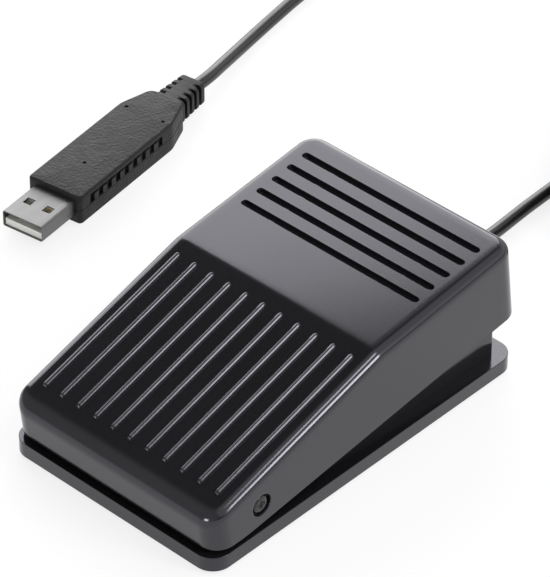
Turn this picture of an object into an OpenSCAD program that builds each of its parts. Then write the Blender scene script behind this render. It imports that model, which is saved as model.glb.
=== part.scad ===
// Foot pedal switch on a USB lead, in millimetres.
// +Z is up, +Y runs from the low front of the pedal to its high rear, +X is the right-hand side.
// The origin lies on the floor, under the middle of the base.

/* [Base] */
// Length of the base plate, front to rear
base_l = 101; // [96:1:120]
// Width of the base plate
base_w = 63.8; // [60:0.2:80]
// Thickness of the base plate
plate_t = 3.9; // [3:0.1:6]
// Corner radius of the base plate in plan
plate_corner_r = 4.9; // [3:0.1:8]
// Step from the front edge of the plate to the riser walls
riser_in_front = 6.5; // [5.5:0.1:8]
// Step from the rear edge of the plate to the riser walls
riser_in_rear = 3.9; // [3.4:0.1:5]
// Step from each side edge of the plate to the riser walls
riser_in_side = 3.9; // [3.6:0.1:5]
// Thickness of the riser walls
riser_wall = 2.2; // [1.6:0.1:3]
// Height of the riser walls at the front, above the plate
riser_h_front = 7; // [5:0.1:8.5]
// Height of the riser walls at the rear, above the plate
riser_h_rear = 16; // [14:0.1:17]
// Corner radius of the riser box in plan
riser_corner_r = 0.8; // [0.4:0.1:2]

/* [Feet] */
// Diameter of a rubber foot
foot_d = 10; // [6:0.5:12]
// Thickness of a rubber foot
foot_t = 2; // [1.5:0.1:3]
// Length of a foot that stands proud of the plate
foot_proud = 1; // [0.5:0.1:1.4]
// Distance from each edge of the plate to the foot's middle, across
foot_in_x = 8; // [7:0.5:12]
// Distance from each edge of the plate to the foot's middle, along
foot_in_y = 10.5; // [8:0.5:14]

/* [Pedal] */
// Step from the front edge of the plate to the front of the level pedal
pedal_in_front = 0.6; // [0.4:0.1:2]
// Step from each side edge of the plate to the side of the pedal
pedal_in_side = 0.2; // [0:0.1:0.4]
// Length by which the level pedal reaches past the rear of the base
pedal_past_rear = 0.9; // [0:0.1:1.5]
// Gap between the level pedal's skirt and the base plate
skirt_gap = 1.9; // [1.4:0.1:3]
// Length of the skirt at the front that is cut back, so that it lies level over the plate while the pedal rests
front_relief_l = 9; // [6:0.5:12]
// Height of that cut at the front wall
front_relief_h = 1.2; // [0.6:0.1:1.6]
// Height from the skirt's lower edge to the flat rear tread
flat_h = 20.85; // [19.5:0.05:26]
// Slope of the front tread against the rear tread, in degrees
tread_slope = 10; // [7:0.5:11]
// Distance from the rear wall to the crease between the two treads
crease_from_rear = 46.2; // [42:0.2:52]
// Wall thickness of the pedal shell
pedal_wall = 2.2; // [1.9:0.1:2.6]
// Corner radius of the pedal shell in plan
pedal_corner_r = 5; // [3.5:0.1:7]
// Radius of the rounded edge all round the treads
edge_r = 2.5; // [1.5:0.1:3]
// Angle by which the spring holds the pedal up at rest, in degrees
rest_lift = 6.6; // [6:0.1:7]
// Width of the notch in the rear wall that clears the lead
notch_w = 10; // [9:0.5:16]
// Height of that notch above the skirt's lower edge
notch_h = 7.5; // [6.5:0.5:10]
// Thickness of the stiffening ribs under the treads
stiff_t = 1.6; // [1:0.1:2.4]
// Depth of the stiffening ribs under the treads
stiff_h = 3; // [1.5:0.1:4]
// Distance of the stiffening ribs from the middle
stiff_x = 18; // [16:0.5:21]

/* [Tread] */
// Number of raised ribs on the front tread
rib_count = 11; // [5:2:11]
// Spacing of the raised ribs
rib_pitch = 5.34; // [4:0.02:5.4]
// Width of a raised rib
rib_w = 1.3; // [1:0.1:2]
// Height of a raised rib
rib_h = 0.5; // [0.3:0.05:0.6]
// Bare length of tread in front of the ribs
rib_from_front = 7.1; // [5.5:0.1:10]
// Bare length of tread between the ribs and the crease
rib_from_crease = 4.4; // [2:0.1:8]
// Number of slots in the rear tread
slot_count = 5; // [2:1:6]
// Spacing of the slots
slot_pitch = 5.17; // [4:0.01:5.5]
// Width of a slot
slot_w = 1.7; // [1.2:0.1:2.6]
// Length of a slot, end to end
slot_l = 54; // [36:1:55]
// Depth of a slot
slot_depth = 1.3; // [0.6:0.1:1.4]
// Distance from the rear wall to the middle of the first slot
slot_from_rear = 7.8; // [5.5:0.1:10]

/* [Hinge] */
// Distance from the front edge of the plate to the hinge
hinge_from_front = 15.5; // [14.5:0.1:17]
// Height of the hinge above the plate
hinge_h = 7.2; // [6.6:0.1:7.8]
// Diameter of the smooth shoulder that the pedal turns on
shoulder_d = 4; // [3:0.1:4.4]
// Radial running clearance on the shoulder
hinge_clear = 0.05; // [0.03:0.01:0.1]
// Diameter of the hinge screw's thread
hinge_thread_d = 3; // [2:0.1:3.4]
// Length of the hinge screw's thread
hinge_thread_l = 6; // [4:0.5:8]
// Diameter of the hinge screw's head
hinge_head_d = 5; // [4.6:0.1:5.4]
// Thickness of the hinge screw's head
hinge_head_t = 1; // [0.6:0.1:1.1]
// Diameter of the recess that the head sits in
head_recess_d = 5.6; // [5.5:0.1:6.4]
// Depth of the recess that the head sits in
head_recess_h = 1.3; // [1.2:0.1:1.4]
// Gap beside a turning face, along the hinge
hinge_side_gap = 0.3; // [0.2:0.05:0.5]
// Radius of the hinge ear round the screw
ear_r = 4.4; // [3.6:0.1:4.8]

/* [Spring] */
// Distance from the spring's middle to the front of the switch case
spring_to_switch = 14.5; // [13.5:0.5:18]
// Outer diameter of the return spring
spring_d = 13; // [11:0.5:14]
// Wire diameter of the return spring
spring_wire = 1.4; // [1:0.1:1.6]
// Number of turns of the return spring
spring_turns = 6; // [4:1:8]
// Height of the spring at rest
spring_h = 21; // [19.5:0.1:21.6]
// Clearance round the spring at its seats
spring_clear = 0.3; // [0.2:0.05:0.5]
// Height of the locating post inside the spring
spring_post_h = 3.5; // [2:0.5:6]
// Depth of the cup that holds the spring's top
spring_cup_h = 2.5; // [1.5:0.1:3.5]
// Wall of that cup
spring_cup_wall = 1.5; // [1:0.1:2]

/* [Switch] */
// Distance of the switch from the middle, to the left
switch_left = 10; // [9.5:0.1:11]
// Distance from the rear riser wall to the switch case
switch_from_wall = 12.1; // [11:0.1:13]
// Length of the switch case
case_l = 19.8; // [18:0.1:21]
// Thickness of the switch case
case_w = 6.4; // [6:0.1:7]
// Height of the lower part of the switch case
case_h = 6.5; // [6:0.1:7]
// Height of the switch cover on the case
cover_h = 3; // [2.6:0.1:3.2]
// Height of the case above the plate, which the terminals need
switch_up = 6.1; // [5.8:0.1:6.3]
// Spacing of the two mounting screws
switch_screw_pitch = 9.5; // [8:0.1:11]
// Diameter of the mounting screws
switch_screw_d = 2.3; // [1.8:0.1:2.6]
// Length of switch lever from its pivot
lever_l = 24; // [23.6:0.1:25]
// Width of the switch lever
lever_w = 3.6; // [3:0.1:4]
// Thickness of the switch lever
lever_t = 0.4; // [0.3:0.05:0.5]
// Rise of the switch lever at rest, in degrees
lever_rise = 20; // [19.5:0.1:20.5]
// Diameter of the switch plunger
plunger_d = 1.8; // [1.2:0.1:2.2]
// Length of the plunger above the cover at rest
plunger_up = 1.8; // [1.6:0.05:1.9]
// Free travel of the plunger into the case
plunger_travel = 1.33; // [1.1:0.01:1.4]
// Thickness of the wall that the switch is screwed to
switch_wall = 3.5; // [3:0.1:5]

/* [Cable] */
// Diameter of the lead
cord_d = 3.4; // [3.4:0.1:3.6]
// Height of the lead's outlet above the plate
outlet_h = 4.5; // [4.5:0.1:4.6]
// Diameter of the neck of the grommet
grommet_d = 6.4; // [5.6:0.1:7]
// Diameter of the two flanges of the grommet
grommet_flange_d = 9; // [8:0.1:9]
// Thickness of each flange of the grommet
grommet_flange_t = 1.3; // [1:0.1:1.6]
// Diameter of the grommet's nose at its end
nose_tip_d = 4.8; // [4.4:0.1:5.4]
// Length of the grommet's nose behind its outer flange
nose_l = 9; // [7:0.5:9]
// Width of the saddle clamp that holds the lead, along the lead
clamp_l = 4.5; // [3:0.1:4.6]
// Spacing of the two clamp screws
clamp_screw_pitch = 11; // [9.5:0.5:12]
// Diameter of the clamp screws
clamp_screw_d = 2.2; // [1.8:0.1:2.6]
// Thickness of the saddle clamp over the lead
clamp_t = 1.8; // [1.4:0.1:2.4]
// Diameter of each inner wire
wire_d = 1.2; // [0.8:0.1:1.3]
// Turns of the spare lead's coil in each layer
coil_turns = 2.6; // [2.35:0.25:3.1]
// Spacing of the turns and layers of the coil
coil_pitch = 3.95; // [3.9:0.05:4.2]
// Radius of the coil at the middle of its outermost turn
coil_r_out = 25.2; // [24.8:0.1:25.6]
// Thickness of the tie's strap
tie_t = 0.8; // [0.5:0.1:0.9]
// Width of the tie's strap
tie_w = 5; // [3:0.5:8]

/* [Plug] */
// Width of the plug's metal shell
usb_w = 12; // [12:0.1:12.4]
// Height of the plug's metal shell
usb_h = 4.5; // [4.5:0.1:4.7]
// Length of the metal shell in front of the housing
usb_reach = 12.5; // [11.75:0.05:13]
// Length of the metal shell inside the housing
usb_inside = 6; // [4:0.5:7]
// Sheet thickness of the metal shell
usb_sheet = 0.3; // [0.25:0.05:0.4]
// Side of the square windows in the metal shell
usb_window = 2.3; // [1.8:0.1:2.6]
// Length of the plug's housing
housing_l = 46.5; // [44:0.5:50]
// Width of the plug's housing
housing_w = 16; // [15.4:0.2:18]
// Height of the plug's housing
housing_h = 8.2; // [8:0.1:9]
// Wall of the plug's housing
housing_wall = 1.4; // [1.2:0.1:1.6]
// Rounding of the housing's edges
housing_edge = 0.7; // [0.4:0.1:1]
// Width of the housing at its rear end
housing_rear_w = 11.6; // [11:0.2:12.4]
// Length of the housing's rear shoulders
shoulder_l = 10; // [9:0.5:12]
// Number of grip teeth along each side of the housing
grip_count = 8; // [4:1:8]
// Spacing of the grip teeth
grip_pitch = 3.45; // [2.4:0.05:3.5]
// Length of a grip tooth
grip_tooth = 1.8; // [1:0.1:2]
// Depth of the channel that the grip teeth stand in
grip_depth = 0.8; // [0.4:0.1:0.9]
// Distance from the front of the housing to the grip channel
grip_from_front = 4; // [3:0.5:5]
// Thickness of the housing's top above the grip channel
grip_below_top = 1.3; // [1:0.1:1.5]
// Diameter of the small pin holes in the top of the housing
pin_hole_d = 0.9; // [0.6:0.1:1.2]
// Length of the plug's notched strain relief
relief_l = 10.5; // [9:0.5:11]
// Width of the strain relief at the housing
relief_w = 9; // [8:0.1:9.4]
// Width of the strain relief at the lead
relief_tip_w = 7.4; // [6.6:0.1:7.8]
// Height of the strain relief
relief_h = 6.2; // [5.6:0.1:6.6]
// Number of notches in each side of the strain relief
relief_notches = 4; // [2:1:4]
// Width of a notch in the strain relief
relief_notch_w = 1.1; // [0.8:0.1:1.2]
// Diameter of the collar that keys the strain relief into the housing
collar_d = 6.6; // [6:0.1:6.8]

/* [Hidden] */
$fn = 48;
hull_fn = 32;
plastic = "#1d1d1f";
rubber = "#2a2a2c";
steel = "#c4c6c8";
brass = "#c9a24b";

// Base
plate_z = foot_proud;
plate_top = plate_z + plate_t;
base_y0 = -base_l / 2;
base_y1 = base_l / 2;
riser_x = base_w / 2 - riser_in_side;
riser_y0 = base_y0 + riser_in_front;
riser_y1 = base_y1 - riser_in_rear;
riser_l = riser_y1 - riser_y0;
riser_mid_y = (riser_y0 + riser_y1) / 2;
wall_in_y = riser_y1 - riser_wall;
switch_y = wall_in_y - switch_from_wall - case_l;

// Pedal, drawn level and then lifted about the hinge
hinge_y = base_y0 + hinge_from_front;
hinge_z = plate_top + hinge_h;
skirt_z = plate_top + skirt_gap;
flat_z = skirt_z + flat_h;
pedal_y1 = base_y1 + pedal_past_rear;
pedal_y0 = base_y0 + pedal_in_front;
pedal_l = pedal_y1 - pedal_y0;
pedal_w = base_w - 2 * pedal_in_side;
crease_y = pedal_y1 - crease_from_rear;
pedal_x = pedal_w / 2;
function tread_z(y) = flat_z - max(0, crease_y - y) * tan(tread_slope);

// Hinge screws
ear_face_x = riser_x;
pedal_boss_x = ear_face_x + hinge_side_gap;
recess_x = pedal_x - head_recess_h;
head_x = recess_x + 0.1;

// Spring and its seats
spring_y = switch_y - spring_to_switch;
spring_z = plate_top;
spring_top = spring_z + spring_h;
spring_mid_r = (spring_d - spring_wire) / 2;

// Switch
case_z = plate_top + switch_up;
cover_z = case_z + case_h;
cover_top = cover_z + cover_h;
pivot_pin_r = 0.6;
pivot_clear = 0.06;
pivot_y = switch_y + 1.6;
pivot_z = cover_top + 0.9;
plunger_y = pivot_y + 4;
striker_r = 1.2;
striker_gap = 0.3;
striker_at = lever_l - 1.5;
striker_off = striker_r + striker_gap + lever_t / 2;
striker_y = pivot_y + striker_at * cos(lever_rise) - striker_off * sin(lever_rise);
striker_z = pivot_z + striker_at * sin(lever_rise) + striker_off * cos(lever_rise);
striker_w = 7;
switch_mid_y = switch_y + case_l / 2;
switch_hole_z = case_z + 2.9;
terminal_y = [switch_y + 2.3, switch_y + 11.1, switch_y + case_l - 1.6];
terminal_w = 3.2;
terminal_t = 0.5;
terminal_l = 5.2;

// Lead, clamp and grommet
cord_r = cord_d / 2;
outlet_z = plate_top + outlet_h;
clamp_y = wall_in_y - grommet_flange_t - 0.6 - clamp_l / 2;
nose_y = riser_y1 + grommet_flange_t;
nose_end = nose_y + nose_l;
jacket_y = clamp_y - clamp_l / 2 - 3.9;
// The route of the lead over the floor is measured from the middle of the base's rear edge
rear_edge = [0, base_y1, 0];
lead_held = [[0, jacket_y, outlet_z], [0, clamp_y, outlet_z], [0, riser_y1, outlet_z], [0, nose_end, outlet_z],
    [0, nose_end + 3, outlet_z]];
lead_floor = [
    [-0.5, 13, 8.6], [-1.1, 17.5, 7.2], [-2, 22.5, 5], [-2.9, 27.5, 3.1], [-3.6, 32.5, 2.1],
    [-4.2, 38.5, 1.8], [-4.7, 45.5, 1.8], [-5, 52.5, 1.8], [-5.1, 60.5, 2.1]
];
lead_route = concat(lead_held, [for (p = lead_floor) p + rear_edge]);
coil_centre = rear_edge + [20, 73.5, 0];
coil_lift = tie_t + 0.2;
coil_layers = 4;
coil_total = coil_layers * coil_turns + (coil_layers - 1) / 2;
coil_rings = 24;
coil_z = coil_lift + cord_r;
tail_floor = [
    [-12.5, 76, 12.6], [-18.5, 85.5, 9.6], [-24.5, 95.5, 5.8], [-31, 105.5, 2.9], [-40, 115.5, 1.8],
    [-52, 123.5, 1.8], [-66, 127.5, 1.8], [-81, 126.5, 1.8], [-94, 119.5, 1.8], [-102.5, 107.5, 1.8],
    [-106.6, 94.5, 1.8], [-107.3, 82.5, 1.8], [-106.2, 73, 1.8], [-104.7, 64.5, 1.8], [-102.9, 55, 1.8],
    [-100.9, 46.5, 2.2], [-98.7, 38.5, 3]
];
tail_route = [for (p = tail_floor) p + rear_edge];

// Plug, which lies flat on the floor
plug_at = rear_edge + [-86, -44.6, 0];
plug_turn = 8;
plug_mid_z = housing_h / 2;
housing_y = usb_reach;
housing_end = housing_y + housing_l;
relief_y = housing_end;
relief_end = relief_y + relief_l;
relief_anchor = 3;
collar_l = 1;
neck_r = collar_d / 2 - 1;
relief_chamfer = 1.1;
grip_y = housing_y + grip_from_front;
grip_top = housing_h - grip_below_top;
grip_slot = 0.6;
pin_holes = [[-5.6, 36.8], [5.6, 36.8], [0, 12.3]];
tongue_w = 11.1;
tongue_t = 1.84;
board_w = 12.4;
board_l = 24;
board_t = 1;
board_y = housing_y + usb_inside + 0.8;
contact_w = 1;
contact_t = 0.2;

// A block with round corners in plan, centred in plan, standing on z = 0
module rounded_block(w, l, r, h) {
    translate([-w / 2 + r, -l / 2, 0]) cube([w - 2 * r, l, h]);
    translate([-w / 2, -l / 2 + r, 0]) cube([w, l - 2 * r, h]);
    for (x = [-1, 1], y = [-1, 1])
        translate([x * (w / 2 - r), y * (l / 2 - r), 0]) cylinder(r = r, h = h);
}

// A side outline in the YZ plane, as wide as asked and centred on x = 0
module side_prism(outline, w) {
    rotate([90, 0, 90]) linear_extrude(w, center = true) polygon(outline);
}

// A round bar along X from x0 to x1
module x_bar(r, x0, x1) {
    translate([x0, 0, 0]) rotate([0, 90, 0]) cylinder(r = r, h = x1 - x0);
}

// A round bar along Y from y0 to y1
module y_bar(r, y0, y1) {
    translate([0, y0, 0]) rotate([-90, 0, 0]) cylinder(r = r, h = y1 - y0);
}

// Both sides of the object, mirrored across x = 0
module both_sides() {
    for (side = [0, 1]) mirror([side, 0, 0]) children();
}

// Turns a level pedal to its lifted rest, about the hinge
module lifted(angle = rest_lift) {
    translate([0, hinge_y, hinge_z]) rotate([angle, 0, 0]) translate([0, -hinge_y, -hinge_z]) children();
}

// Ring of points round a place on a path, square to its direction
function across(d) = let(s = cross(d, [0, 0, 1])) s / norm(s);
function ring(p, d, r, n) =
    let(s = across(d), u = cross(s, d))
    [for (k = [0:n - 1]) p + r * (cos(360 * k / n) * s + sin(360 * k / n) * u)];
function heading(path, i) =
    let(last = len(path) - 1, d = path[min(i + 1, last)] - path[max(i - 1, 0)]) d / norm(d);
function path_length(path) = [for (i = [1:len(path) - 1]) norm(path[i] - path[i - 1])] * [for (i = [1:len(path) - 1]) 1];

// A closed tube along a path, made of triangles
module tube(path, r, n) {
    rings = len(path);
    points = [for (i = [0:rings - 1]) each ring(path[i], heading(path, i), r, n)];
    sides = [for (i = [0:rings - 2], k = [0:n - 1])
        let(a = i * n + k, b = i * n + (k + 1) % n)
        each [[a, a + n, b], [b, a + n, b + n]]];
    caps = [for (k = [1:n - 2]) each [[0, k, k + 1], [for (q = [0, k + 1, k]) (rings - 1) * n + q]]];
    polyhedron(points, concat(sides, caps));
}

// Base plate with its riser box, hinge ears, spring post, switch wall and lead cradle
module base_tray() {
    color(plastic) difference() {
        union() {
            translate([0, 0, plate_z]) rounded_block(base_w, base_l, plate_corner_r, plate_t);
            riser_walls();
            both_sides() hinge_ear();
            translate([0, spring_y, plate_z])
                cylinder(d = spring_d - 2 * spring_wire - 2 * spring_clear, h = plate_t + spring_post_h);
            switch_wall_plate();
            clamp_seat();
        }
        for (x = [-1, 1], y = [-1, 1])
            translate([x * (base_w / 2 - foot_in_x), y * (base_l / 2 - foot_in_y), 0])
                cylinder(d = foot_d, h = foot_t);
        both_sides() translate([0, hinge_y, hinge_z])
            x_bar(hinge_thread_d / 2, ear_face_x - hinge_thread_l, ear_face_x + 1);
        for (y = [-1, 1])
            translate([0, switch_mid_y + y * switch_screw_pitch / 2, switch_hole_z])
                x_bar(switch_screw_d / 2, -switch_left - case_w / 2 - switch_wall - 1, -switch_left);
        for (x = [-1, 1])
            translate([x * clamp_screw_pitch / 2, clamp_y, plate_top])
                cylinder(d = clamp_screw_d, h = outlet_h);
        translate([0, 0, outlet_z]) y_bar(grommet_d / 2, wall_in_y - 1, riser_y1 + 1);
    }
}

module riser_walls() {
    top = [[riser_y0 - 1, plate_z], [riser_y1 + 1, plate_z],
        [riser_y1 + 1, plate_top + riser_h_rear], [riser_y0 - 1, plate_top + riser_h_front]];
    intersection() {
        translate([0, riser_mid_y, plate_z]) difference() {
            rounded_block(2 * riser_x, riser_l, riser_corner_r, plate_t + riser_h_rear);
            translate([0, 0, -1]) rounded_block(2 * (riser_x - riser_wall), riser_l - 2 * riser_wall,
                riser_corner_r / 2, plate_t + riser_h_rear + 2);
        }
        side_prism(top, base_w);
    }
}

// Ear on the riser wall that takes the hinge screw's thread
module hinge_ear() {
    inner_x = ear_face_x - hinge_thread_l - 1;
    translate([inner_x, hinge_y - ear_r, plate_z]) cube([ear_face_x - inner_x, 2 * ear_r, hinge_z - plate_z]);
    translate([0, hinge_y, hinge_z]) x_bar(ear_r, inner_x, ear_face_x);
}

module switch_wall_plate() {
    translate([-switch_left - case_w / 2 - switch_wall, switch_y + 1, plate_z])
        cube([switch_wall, case_l - 2, case_z + 5.6 - plate_z]);
}

// Two screw posts and a cradle under the lead
module clamp_seat() {
    post_d = clamp_screw_d + 2.4;
    for (x = [-1, 1])
        translate([x * clamp_screw_pitch / 2, clamp_y, plate_z]) cylinder(d = post_d, h = outlet_z - plate_z - 0.2);
    translate([-cord_r - 0.6, clamp_y - clamp_l / 2, plate_z])
        cube([cord_d + 1.2, clamp_l, outlet_z - cord_r - plate_z]);
}

module rubber_feet() {
    color(rubber) for (x = [-1, 1], y = [-1, 1])
        translate([x * (base_w / 2 - foot_in_x), y * (base_l / 2 - foot_in_y), 0])
            rotate_extrude() polygon([[0, 0], [foot_d / 2 - 0.4, 0], [foot_d / 2, 0.4], [foot_d / 2, foot_t], [0, foot_t]]);
}

// Disc with a rounded upper edge, its top face on z = 0
module edge_disc() {
    steps = 5;
    rim = [for (k = [0:steps]) let(a = 90 * k / steps)
        [pedal_corner_r - edge_r + edge_r * cos(a), -edge_r + edge_r * sin(a)]];
    rotate_extrude($fn = hull_fn) polygon(concat([[0, -edge_r]], rim, [[0, 0]]));
}

// Outer form of the level pedal: flat rear tread, sloped front tread and rounded edges
module pedal_form() {
    side_x = pedal_x - pedal_corner_r;
    front_y = pedal_y0 + pedal_corner_r;
    rear_y = pedal_y1 - pedal_corner_r;
    hull() {
        for (x = [-side_x, side_x]) {
            translate([x, front_y, tread_z(front_y)]) rotate([tread_slope, 0, 0]) edge_disc();
            translate([x, rear_y, flat_z]) edge_disc();
            for (y = [front_y, rear_y])
                translate([x, y, skirt_z]) cylinder(r = pedal_corner_r, h = 1, $fn = hull_fn);
        }
        for (x = [-1, 1])
            translate([x * (pedal_x - edge_r), crease_y, flat_z - edge_r]) rotate([90, 0, 0])
                cylinder(r = edge_r, h = 0.02, center = true, $fn = hull_fn);
    }
}

// Space under the treads, raised into the wall by sink
module under_treads(sink, w) {
    top = flat_z - pedal_wall + sink;
    drop = pedal_wall * (1 / cos(tread_slope) - 1);
    side_prism([[pedal_y0 - 1, skirt_z - 5], [pedal_y1 + 1, skirt_z - 5], [pedal_y1 + 1, top],
        [crease_y, top], [pedal_y0 - 1, tread_z(pedal_y0 - 1) - pedal_wall - drop + sink]], w);
}

module pedal_cavity() {
    intersection() {
        translate([0, (pedal_y0 + pedal_y1) / 2, skirt_z - 5])
            rounded_block(pedal_w - 2 * pedal_wall, pedal_l - 2 * pedal_wall, pedal_corner_r - pedal_wall / 2, 2 * flat_z);
        under_treads(0, pedal_w);
    }
}

// Pieces moulded under the treads: stiffening ribs, spring cup and switch striker
module pedal_underside() {
    cup_d = spring_d + 2 * spring_clear;
    intersection() {
        under_treads(pedal_wall / 2, pedal_w - pedal_wall);
        union() {
            both_sides() difference() {
                translate([stiff_x - stiff_t / 2, hinge_y + 6, skirt_z]) cube([stiff_t, pedal_y1 - hinge_y - 12, flat_z]);
                under_treads(-stiff_h, pedal_w);
            }
            lifted(-rest_lift) {
                difference() {
                    translate([0, spring_y, spring_top - spring_cup_h])
                        cylinder(d = cup_d + 2 * spring_cup_wall, h = 40);
                    translate([0, spring_y, spring_top - spring_cup_h - 1])
                        cylinder(d = cup_d, h = spring_cup_h + 1);
                }
                translate([-switch_left, striker_y, striker_z]) {
                    x_bar(striker_r, -striker_w / 2, striker_w / 2);
                    translate([-striker_w / 2, -striker_r, 0]) cube([striker_w, 2 * striker_r, 20]);
                }
            }
        }
    }
}

// Half-sunk bar with ball ends, along the front tread
module tread_ribs() {
    sink_r = (rib_w * rib_w / 4 + rib_h * rib_h) / (2 * rib_h);
    y0 = pedal_y0 + rib_from_front;
    run = (crease_y - rib_from_crease - y0) / cos(tread_slope);
    for (k = [0:rib_count - 1])
        translate([(k - (rib_count - 1) / 2) * rib_pitch, y0, tread_z(y0)]) rotate([tread_slope, 0, 0])
            translate([0, 0, rib_h - sink_r]) {
                y_bar(sink_r, 0, run);
                sphere(r = sink_r);
                translate([0, run, 0]) sphere(r = sink_r);
            }
}

module tread_slots() {
    reach = slot_l / 2 - slot_w / 2;
    for (k = [0:slot_count - 1])
        translate([0, pedal_y1 - slot_from_rear - k * slot_pitch, flat_z - slot_depth]) {
            translate([-reach, -slot_w / 2, 0]) cube([2 * reach, slot_w, slot_depth + 1]);
            for (x = [-reach, reach]) translate([x, 0, 0]) cylinder(d = slot_w, h = slot_depth + 1);
        }
}

// Wedge that is cut from the skirt's lower edge at the front
module front_relief() {
    side_prism([[pedal_y0 - 0.2 * front_relief_l, skirt_z - 2], [pedal_y0 + 1.1 * front_relief_l, skirt_z - 2],
        [pedal_y0 + 1.1 * front_relief_l, skirt_z - 0.1 * front_relief_h],
        [pedal_y0 - 0.2 * front_relief_l, skirt_z + 1.2 * front_relief_h]], 2 * pedal_w);
}

module pedal_shell() {
    color(plastic) lifted() difference() {
        union() {
            difference() {
                pedal_form();
                pedal_cavity();
            }
            pedal_underside();
            tread_ribs();
            both_sides() translate([0, hinge_y, hinge_z])
                x_bar(ear_r, pedal_boss_x, pedal_x - pedal_wall / 2);
        }
        tread_slots();
        front_relief();
        both_sides() translate([0, hinge_y, hinge_z]) {
            x_bar(shoulder_d / 2 + hinge_clear, pedal_boss_x - 1, pedal_x + 1);
            x_bar(head_recess_d / 2, recess_x, pedal_x + 1);
        }
        translate([-notch_w / 2, pedal_y1 - 2 * pedal_wall, skirt_z - 1])
            cube([notch_w, 3 * pedal_wall, notch_h + 1 - notch_w / 2]);
        translate([0, 0, skirt_z + notch_h - notch_w / 2])
            y_bar(notch_w / 2, pedal_y1 - 2 * pedal_wall, pedal_y1 + pedal_wall);
    }
}

// Shoulder screws that the pedal turns on
module hinge_screws() {
    slot = 0.8;
    color(steel) both_sides() translate([0, hinge_y, hinge_z]) difference() {
        union() {
            x_bar(hinge_thread_d / 2, ear_face_x - hinge_thread_l, ear_face_x);
            x_bar(shoulder_d / 2, ear_face_x, head_x);
            x_bar(hinge_head_d / 2, head_x, head_x + hinge_head_t);
        }
        for (a = [0, 90]) translate([head_x + hinge_head_t / 2, 0, 0]) rotate([a, 0, 0])
            translate([0, -hinge_head_d / 3, -slot / 2]) cube([hinge_head_t, hinge_head_d / 1.5, slot]);
    }
}

module return_spring() {
    rings = 12 * spring_turns;
    low = spring_z + spring_wire / 2 + 0.05;
    rise = spring_h - spring_wire - 0.1;
    // The end turns close up, so the climb is slow at both ends
    function climb(t) = (1 - cos(180 * t)) / 2;
    path = [for (k = [0:rings]) let(a = 360 * spring_turns * k / rings)
        [spring_mid_r * cos(a), spring_y + spring_mid_r * sin(a), low + rise * climb(k / rings)]];
    color(steel) tube(path, spring_wire / 2, 6);
}

module switch_case() {
    color("#3a3a3c") difference() {
        translate([-switch_left - case_w / 2, switch_y, case_z]) cube([case_w, case_l, case_h]);
        switch_screw_holes();
        translate([-switch_left, plunger_y, cover_z - plunger_travel - 0.3])
            cylinder(d = plunger_d + 0.6, h = plunger_travel + 1);
    }
}

module switch_screw_holes() {
    for (y = [-1, 1])
        translate([0, switch_mid_y + y * switch_screw_pitch / 2, switch_hole_z])
            x_bar(switch_screw_d / 2 + 0.05, -switch_left - case_w / 2 - 1, -switch_left + case_w / 2 + 1);
}

// Cover with two ears for the lever's pivot and the plunger's hole
module switch_cover() {
    ear_t = 0.9;
    color("#505054") difference() {
        union() {
            translate([-switch_left - case_w / 2, switch_y, cover_z]) cube([case_w, case_l, cover_h]);
            for (side = [-1, 1]) translate([-switch_left + side * (case_w / 2 - ear_t / 2), pivot_y, cover_top - 0.5]) {
                translate([-ear_t / 2, -1.2, 0]) cube([ear_t, 2.4, pivot_z - cover_top + 0.5]);
                translate([0, 0, pivot_z - cover_top + 0.5]) x_bar(1.2, -ear_t / 2, ear_t / 2);
            }
        }
        translate([-switch_left, pivot_y, pivot_z])
            x_bar(pivot_pin_r + pivot_clear, -case_w, case_w);
        translate([-switch_left, plunger_y, cover_z - 1]) cylinder(d = plunger_d + 0.16, h = cover_h + 2);
    }
}

module switch_terminals() {
    color(brass) for (y = terminal_y)
        translate([-switch_left - terminal_t / 2, y - terminal_w / 2, case_z - terminal_l]) difference() {
            cube([terminal_t, terminal_w, terminal_l]);
            translate([-1, terminal_w / 2, terminal_l / 3]) rotate([0, 90, 0]) cylinder(d = 1.4, h = 3);
        }
}

module switch_screws() {
    head_x0 = -switch_left + case_w / 2;
    color(steel) for (y = [-1, 1])
        translate([0, switch_mid_y + y * switch_screw_pitch / 2, switch_hole_z]) difference() {
            union() {
                x_bar(switch_screw_d / 2, -switch_left - case_w / 2 - switch_wall, head_x0);
                x_bar(switch_screw_d * 0.9, head_x0, head_x0 + 1.3);
            }
            for (a = [0, 90]) translate([head_x0 + 0.7, 0, 0]) rotate([a, 0, 0])
                translate([0, -1.3, -0.25]) cube([1, 2.6, 0.5]);
        }
}

module switch_plunger() {
    color("#b03a2e") translate([-switch_left, plunger_y, cover_z])
        rotate_extrude() polygon([[0, 0], [plunger_d / 2, 0], [plunger_d / 2, cover_h + plunger_up - 0.3],
            [plunger_d / 2 - 0.3, cover_h + plunger_up], [0, cover_h + plunger_up]]);
}

// Spring-steel lever with its pivot pin and a turned-up tip
module switch_lever() {
    color(steel) translate([-switch_left, pivot_y, pivot_z]) {
        x_bar(pivot_pin_r, -case_w / 2 + 0.1, case_w / 2 - 0.1);
        rotate([lever_rise, 0, 0]) {
            translate([-lever_w / 2, 0, -lever_t / 2]) cube([lever_w, lever_l, lever_t]);
            translate([0, lever_l, -lever_t / 2]) x_bar(lever_t, -lever_w / 2, lever_w / 2);
        }
    }
}

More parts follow.
